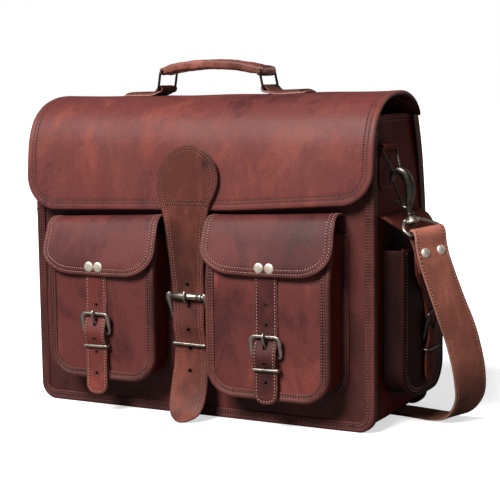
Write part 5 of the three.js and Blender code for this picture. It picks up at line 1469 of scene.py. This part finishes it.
# ------------------------------------------------------------- rings and clips
v3 = lambda *a: np.array(a, float)
CLIPS = {
    "right": dict(bar=v3(217, -47, 262.5), neck=v3(231.5, -46, 214), end=v3(247.0, -45, 204.5), along=v3(0.55, 0.82, 0.10), hang=v3(0.36, 0.10, -0.93), up=10.5, ks=0.80),
    "left": dict(bar=v3(217, -47, 262.5), neck=v3(230.5, -27, 217), end=v3(238.5, 3, 200), along=v3(0.08, 0.98, 0.12), hang=v3(0.09, 0.42, -0.90), up=2.0, ks=0.95),
}
FRAMES = {}
for side, c in CLIPS.items():
    flip = np.array([-1.0 if side == "left" else 1.0, 1, 1])
    # ring in the tab, its arms drawing together to a short bar
    topc, low = v3(205.9, -47, 289.5), v3(c["bar"][0], -47, c["bar"][2])
    D = low - topc
    Ln = np.linalg.norm(D)
    D = D / Ln
    Y = v3(0, 1, 0)
    pts = [topc - Y * 18.2, topc + Y * 18.2, topc + Y * 18.0 + D * 5.5, topc + Y * 8.6 + D * Ln, topc - Y * 8.6 + D * Ln, topc - Y * 18.0 + D * 5.5]
    P = resample(round_path(pts, [2.2, 2.2, 5, 3.2, 3.2, 5], 6), 1.4)
    V, F = tube(P * flip, 1.3, 1.3, closed=True, nrm=np.cross(Y, D) * flip, k=12)
    if side == "left":
        F = [f[::-1] for f in F]
    Geo().add(V, F, edge=np.full(len(V), 0.25)).make(f"side_ring_{side}", "dark", f"side_ring_{side}", (f"side_ring_{side}",))

    Vd = unit(c["bar"] - c["neck"])
    Wd = unit(Y - Vd * Vd[1])
    U = np.cross(Wd, Vd)
    if U[0] < 0:
        U = -U
    N = np.cross(U, Vd)
    k = np.linalg.norm(c["bar"] - c["neck"]) / 38.5
    k *= c["ks"]
    neck = c["neck"] + Vd * c["up"]
    to3 = lambda a, b, n=0.0: neck + U * a + Vd * b + N * n
    # hook: a cast teardrop, thick on its closed side
    sp = np.array([[0, -1.5], [0.2, 2.5], [1.6, 7.0], [4.0, 12], [6.4, 18], [7.6, 25], [7.4, 31.5], [5.4, 37.6], [1.2, 41.0], [-3.4, 40.6], [-6.6, 37.4], [-7.8, 33.2]]) * k
    sc = catmull(sp, 60)
    tt = np.linspace(0, 1, len(sc))
    rw = np.interp(tt, [0, 0.08, 0.2, 0.36, 0.52, 0.66, 0.8, 0.92, 1.0], [2.8, 2.8, 3.6, 5.0, 5.5, 4.7, 3.4, 2.6, 1.9])
    rn = np.interp(tt, [0, 0.08, 0.2, 0.36, 0.52, 0.66, 0.8, 0.92, 1.0], [2.7, 2.7, 3.4, 4.4, 4.7, 4.2, 3.2, 2.5, 1.9])
    P = np.array([to3(a, b) for a, b in sc])
    g = Geo()
    V, F = tube(P * flip, rn, rw, nrm=N * flip, k=16, power=2.2)
    fl = (lambda F: [f[::-1] for f in F]) if side == "left" else (lambda F: F)
    g.add(V, fl(F), edge=np.full(len(V), 0.35))
    V, F = tube(np.array([to3(-4.8 * k, 6.6 * k), to3(-2.6 * k, 5.2 * k), to3(0.4 * k, 3.0 * k)]) * flip, [1.9, 2.1, 2.2], [2.0, 2.4, 2.4], nrm=N * flip, k=12)
    g.add(V, fl(F), edge=np.full(len(V), 0.3))
    ax = Vd * flip
    og = lambda b: to3(0, b) * flip
    for prof in ([(0, -0.6), (3.0, -0.6), (4.2, -1.0), (4.4, -1.6), (4.4, -2.6), (4.2, -3.2), (3.4, -3.6), (4.0, -3.9), (4.2, -4.3), (3.6, -4.8), (0, -4.8)],
                 [(0, -2.0), (2.2, -2.2), (2.2, -12.0), (0, -12.2)],
                 [(0, -11.4), (3.4, -11.5), (4.2, -12.3), (4.3, -13.3), (3.7, -14.4), (2.2, -15.1), (0, -15.3)]):
        V, F = lathe(prof, og(0), ax, 22)
        F = [f[::-1] for f in F]
        g.add(V, F, edge=np.full(len(V), 0.3))
    g.make(f"clip_{side}_hook", "bronze", f"clip_{side}", (f"clip_{side}_hook",))
    # gate: sprung bar with a thumb stud
    gp_ = catmull(np.array([to3(a * k, b * k) for a, b in ((-2.6, 7.6), (-4.2, 12.0), (-5.6, 18), (-6.4, 25), (-6.6, 29.5), (-6.6, 32.0))]), 26)
    V, F = tube(gp_ * flip, 1.05, 1.15, nrm=N * flip, k=10)
    g = Geo().add(V, fl(F), edge=np.full(len(V), 0.2))
    sb = to3(-6.2 * k, 13.2 * k)
    dirn = unit(-U * 0.9 - Vd * 0.25)
    V, F = lathe([(0, -0.6), (0.9, -0.4), (0.9, 2.6), (1.7, 2.9), (2.1, 3.6), (1.7, 4.4), (0, 4.7)], sb * flip, dirn * flip, 16)
    g.add(V, F, edge=np.full(len(V), 0.3))
    g.make(f"clip_{side}_gate", "dark", f"clip_gate_{side}", (f"clip_{side}_gate",))

    # D-ring of the strap with its swivel eye
    eye = neck - Vd * 8
    D0 = unit(c["end"] - eye)
    A = unit(c["along"])
    A2 = unit(A - D0 * A.dot(D0)) if side == "left" else A
    Ld = np.linalg.norm(c["end"] - eye)
    N2 = np.cross(A2, D0)
    w = 21.0
    pts = [eye - A2 * 5 - D0 * 0.5, eye + A2 * 5 - D0 * 0.5, eye + A2 * 13.5 + D0 * (Ld * 0.16), eye + A2 * w + D0 * (Ld - 8), eye + A2 * w + D0 * Ld, eye - A2 * w + D0 * Ld, eye - A2 * w + D0 * (Ld - 8),
           eye - A2 * 13.5 + D0 * (Ld * 0.16)]
    P = round_path(pts, [5, 5, 9, 6, 3, 3, 6, 9], 7)
    P = resample(P, 1.6)
    g = Geo()
    V, F = tube(P * flip, 1.6, 1.75, closed=True, nrm=N2 * flip, k=14)
    g.add(V, fl(F), edge=np.full(len(V), 0.7))
    zz = Vd
    prof = [(2.55, 3.6), (4.0, 3.6), (4.9, 3.1), (6.2, 0.6), (7.3, -0.4), (7.6, -1.6), (7.4, -2.8), (6.4, -3.4), (2.55, -3.4), (2.45, 0), (2.55, 3.6)]
    V, F = lathe(prof, eye * flip, zz * flip, 26)
    F = [f[::-1] for f in F]
    g.add(V, F, edge=np.full(len(V), 0.75))
    V, F = tube(np.array([eye - A2 * 8.6 + D0 * 0.2, eye - A2 * 4.6]) * flip, [1.9, 2.7], [1.9, 2.7], nrm=N2 * flip, k=12)
    g.add(V, fl(F), edge=np.full(len(V), 0.6))
    V, F = tube(np.array([eye + A2 * 4.6, eye + A2 * 8.6 + D0 * 0.2]) * flip, [2.7, 1.9], [2.7, 1.9], nrm=N2 * flip, k=12)
    g.add(V, fl(F), edge=np.full(len(V), 0.6))
    g.make(f"strap_ring_{side}", "antique", "bag", (f"strap_ring_{side}",))
    S = unit(c["hang"] - A2 * c["hang"].dot(A2))
    Fd = np.cross(A2, S)
    if Fd[0] < 0:
        Fd = -Fd
    FRAMES[side] = (c, A2, S, Fd, flip)


# --------------------------------------------------------------- shoulder strap
def cat3(pts, n):
    """Centripetal Catmull-Rom through 3-D points."""
    P = np.asarray(pts, float)
    m = len(P)
    out = []
    for i in range(n + 1):
        p = (m - 1) * i / n
        k_ = min(int(p), m - 2)
        w_ = p - k_
        p1, p2 = P[k_], P[k_ + 1]
        p0 = P[k_ - 1] if k_ > 0 else 2 * p1 - p2
        p3 = P[k_ + 2] if k_ + 2 < m else 2 * p2 - p1
        d0, d1, d2 = (max(np.linalg.norm(b - a) ** 0.5, 1e-4) for a, b in ((p0, p1), (p1, p2), (p2, p3)))
        t1 = ((p1 - p0) / d0 - (p2 - p0) / (d0 + d1) + (p2 - p1) / d1) * d1
        t2 = ((p2 - p1) / d1 - (p3 - p1) / (d1 + d2) + (p3 - p2) / d2) * d1
        out.append((2 * p1 - 2 * p2 + t1 + t2) * w_ ** 3 + (-3 * p1 + 3 * p2 - 2 * t1 - t2) * w_ ** 2 + t1 * w_ + p1)
    return np.array(out)


def loop_pts(side):
    c, A2, S, Fd, flip = FRAMES[side]
    prof = [(40, -1.8), (28, -1.8), (18, -1.8), (11, -2.4), (5, -4.0), (0, -4.3), (-3.1, -3.0), (-4.3, 0), (-3.1, 3.0), (0, 4.3), (5, 4.0), (11, 2.4), (18, 1.8), (28, 1.8)]
    return [(c["end"] + S * d + Fd * n) * flip for d, n in prof]


down = [(269, -39, 132), (277, -25, 96), (280.5, -9, 54), (276, 3, 27), (261, 11, 8), (243, 15, 2.9), (222, 20, 2.1), (200, 24, 2.1)]
ddir = [(0.58, 0.81, 0.05), (0.64, 0.77, 0.0), (0.6, 0.8, 0), (0.5, 0.87, 0), (0.35, 0.94, 0), (0.2, 0.98, 0), (0.12, 0.99, 0), (0.05, 1, 0)]
under = [(150, 27, 2.1), (75, 28, 2.1), (0, 28, 2.1), (-75, 28, 2.1), (-150, 28, 2.1)]
upp = [(-200, 28, 2.1), (-222, 28, 2.6), (-238, 29, 9), (-249, 30, 30), (-255, 29, 62), (-257, 26, 98), (-253, 22, 132)]
A_, B_ = loop_pts("right"), loop_pts("left")[::-1]
pts = [np.array(p, float) for p in A_ + down + under + upp + B_]
ar = FRAMES["right"][1]
al = FRAMES["left"][1] * FRAMES["left"][4]
dirs = [ar] * len(A_) + [np.array(d) for d in ddir] + [np.array((0, 1.0, 0))] * len(under) + [np.array((-0.02 * i, 1.0, 0)) for i in range(len(upp))] + [al] * len(B_)
SC = cat3(pts, 900)
Dd = np.array(dirs)
par = np.linspace(0, len(pts) - 1, len(SC))
Wc = np.stack([np.interp(par, np.arange(len(pts)), Dd[:, i]) for i in range(3)], 1)
ks = np.ones(25) / 25.0
Wc = np.stack([np.convolve(np.pad(Wc[:, i], 12, mode="edge"), ks, "valid") for i in range(3)], 1)
SS = np.r_[0, np.cumsum(np.linalg.norm(np.diff(SC, axis=0), axis=1))]
ST_ = np.gradient(SC, axis=0)
ST_ /= np.linalg.norm(ST_, axis=1)[:, None]
Wc -= ST_ * (Wc * ST_).sum(1)[:, None]
Wc /= np.linalg.norm(Wc, axis=1)[:, None]
SN = np.cross(ST_, Wc)


def f_strap(u, v, h):
    u, v, h = (np.asarray(a, float) for a in (u, v, h))
    g = lambda A: np.stack([np.interp(v, SS, A[:, i]) for i in range(3)], -1)
    return g(SC) + g(Wc) * u[..., None] + g(SN) * h[..., None]


LS = SS[-1]
so = [(-19, 1.5), (-17.5, 0.2), (17.5, 0.2), (19, 1.5), (19, LS - 1.5), (17.5, LS - 0.2), (-17.5, LS - 0.2), (-19, LS - 1.5)]
out_sign = 1.0 if f_strap(np.array([0.0]), np.array([150.0]), np.array([5.0]))[0][0] > f_strap(np.array([0.0]), np.array([150.0]), np.array([-5.0]))[0][0] else -1.0


def f_strap_out(u, v, h):
    return f_strap(u, v, np.asarray(h, float) * out_sign)


panel("shoulder_strap", so, f_strap_out, ["strap", "suede"], T=3.0, body="bag", rep=("shoulder_strap",), grid=5, step=3, r=1.1, relief=[(1.6, 0.08), (2.1, 0.0), (2.8, -0.3), (3.6, 0.0)], edge_w=1.7, darks=[(2.8, 0.55, 0.6)])
th = Thread()
for u0 in (-16.2, 16.2):
    th.row([(u0, 3), (u0, LS - 3)], f_strap_out, 1.34, 3.3, 2.3)
th.make("shoulder_strap_stitches", "thread_light", "bag")
for side in ("right", "left"):
    c, A2, S, Fd, flip = FRAMES[side]
    g = Geo()
    for a in (-9.5, 9.5):
        p = (c["end"] + S * 20 + A2 * a + Fd * 3.25) * flip
        rivet(g, p, Fd * flip, 5.0, 2.1)
        p = (c["end"] + S * 20 + A2 * a - Fd * 3.3) * flip
        V, F = lathe([(0, -1), (4.2, -0.8), (4.2, 0.3), (3.6, 0.8), (0, 0.9)], p, -Fd * flip, 24)
        g.add(V, F)
    g.make(f"strap_rivets_{side}", "rivet", "bag", (f"strap_rivets_{side}",))

# ------------------------------------------------------- anything still plain
BY_SLOT = {"body_leather": "body", "flap_leather": "flap", "trim_leather": "trim", "tongue_leather": "tongue", "strap_leather": "strap", "lining": "lining",
           "antique_metal": "antique", "dark_metal": "dark", "rivet_metal": "rivet"}
slots = {s["node"]: s["material_slot"] for s in frame["record"].get("subparts", []) if "material_slot" in s}
left_over = []
for name, o in frame["nodes"].items():
    if not o.hide_render:
        left_over.append(name)
        o.data.materials.clear()
        o.data.materials.append(MAT[BY_SLOT.get(slots.get(name), "body")])
print("CAD nodes shown:", left_over)

# ------------------------------------------------------------ floor and light
fm = bpy.data.materials.new("floor")
fm.use_nodes = True
fb = fm.node_tree.nodes["Principled BSDF"]
fb.inputs["Roughness"].default_value = 0.85
fb.inputs["Specular IOR Level"].default_value = 0.2
ntf = fm.node_tree
tc = node(ntf, "ShaderNodeTexCoord", -800)
nz = noise(ntf, tc.outputs["Object"], 3.0, 3, 0.5)
flc = ramp(ntf, nz, [(0.3, (0.90, 0.90, 0.895, 1)), (0.7, (0.93, 0.93, 0.925, 1))])
flp = node(ntf, "ShaderNodeLightPath", -800, 300)
ntf.links.new(mixc(ntf, flp.outputs["Is Camera Ray"], (0.20, 0.195, 0.19, 1), flc), fb.inputs["Base Color"])
fb.inputs["Emission Color"].default_value = (1, 1, 1, 1)
ntf.links.new(mth(ntf, "MULTIPLY", flp.outputs["Is Camera Ray"], 0.62), fb.inputs["Emission Strength"])
me = bpy.data.meshes.new("floor")
R = 14.0
ang = [2 * math.pi * i / 64 for i in range(64)]
me.from_pydata([(0, 0, 0)] + [(R * math.cos(a), R * math.sin(a), 0) for a in ang], [], [(0, 1 + i, 1 + (i + 1) % 64) for i in range(64)])
floor = bpy.data.objects.new("floor", me)
bpy.context.scene.collection.objects.link(floor)
me.materials.append(fm)

world = bpy.data.worlds.new("studio")
bpy.context.scene.world = world
world.use_nodes = True
wn = world.node_tree
wn.nodes.clear()
wo = node(wn, "ShaderNodeOutputWorld", 400)
lp_ = node(wn, "ShaderNodeLightPath", -400)
b1 = node(wn, "ShaderNodeBackground", 0, 100)
b1.inputs[0].default_value = (1, 1, 1, 1)
b1.inputs[1].default_value = 0.10
b2 = node(wn, "ShaderNodeBackground", 0, -100)
b2.inputs[0].default_value = (1, 1, 1, 1)
b2.inputs[1].default_value = 1.0
mx = node(wn, "ShaderNodeMixShader", 200)
wn.links.new(lp_.outputs["Is Camera Ray"], mx.inputs[0])
wn.links.new(b1.outputs[0], mx.inputs[1])
wn.links.new(b2.outputs[0], mx.inputs[2])
wn.links.new(mx.outputs[0], wo.inputs[0])


def area(name, loc, target, size, power, color=(1, 1, 1)):
    d = bpy.data.lights.new(name, "AREA")
    d.shape = "RECTANGLE"
    d.size, d.size_y = size
    d.energy = power
    d.color = color
    o = bpy.data.objects.new(name, d)
    o.location = loc
    o.rotation_euler = (Vector(target) - Vector(loc)).to_track_quat("-Z", "Y").to_euler()
    bpy.context.scene.collection.objects.link(o)
    return o


sd = bpy.data.lights.new("key", "SUN")
sd.energy = 5.1
sd.angle = math.radians(24)
sd.color = (1.0, 0.985, 0.965)
so_ = bpy.data.objects.new("key", sd)
az, el = math.radians(14), math.radians(45)
d_ = Vector((-math.sin(az) * math.cos(el), -math.cos(az) * math.cos(el), math.sin(el)))
so_.rotation_euler = (-d_).to_track_quat("-Z", "Y").to_euler()
bpy.context.scene.collection.objects.link(so_)
area("rim", (1.3, 1.7, 1.3), (0.1, 0, 0.2), (1.0, 1.4), 5)

# ---------------------------------------------------------------------- camera
yaw, pitch, roll = 0.474066, 0.127305, -0.0125668
fwd = Vector((-math.sin(yaw) * math.cos(pitch), math.cos(yaw) * math.cos(pitch), -math.sin(pitch)))
right = Vector((math.cos(yaw), math.sin(yaw), 0))
upv = right.cross(fwd)
rr_ = math.cos(roll) * right + math.sin(roll) * upv
uu_ = -math.sin(roll) * right + math.cos(roll) * upv
cam = bpy.data.cameras.new("camera")
cam.sensor_width = 36
cam.lens = 100.8
cam.clip_end = 60
co = bpy.data.objects.new("camera", cam)
M = Matrix.Identity(4)
for i, v in enumerate((rr_, uu_, -fwd)):
    for j in range(3):
        M[j][i] = v[j]
M[0][3], M[1][3], M[2][3] = 0.70552, -1.33678, 0.36635
co.matrix_world = M
bpy.context.scene.collection.objects.link(co)
bpy.context.scene.camera = co
bpy.context.scene.view_settings.view_transform = "Standard"
bpy.context.scene.view_settings.look = "None"
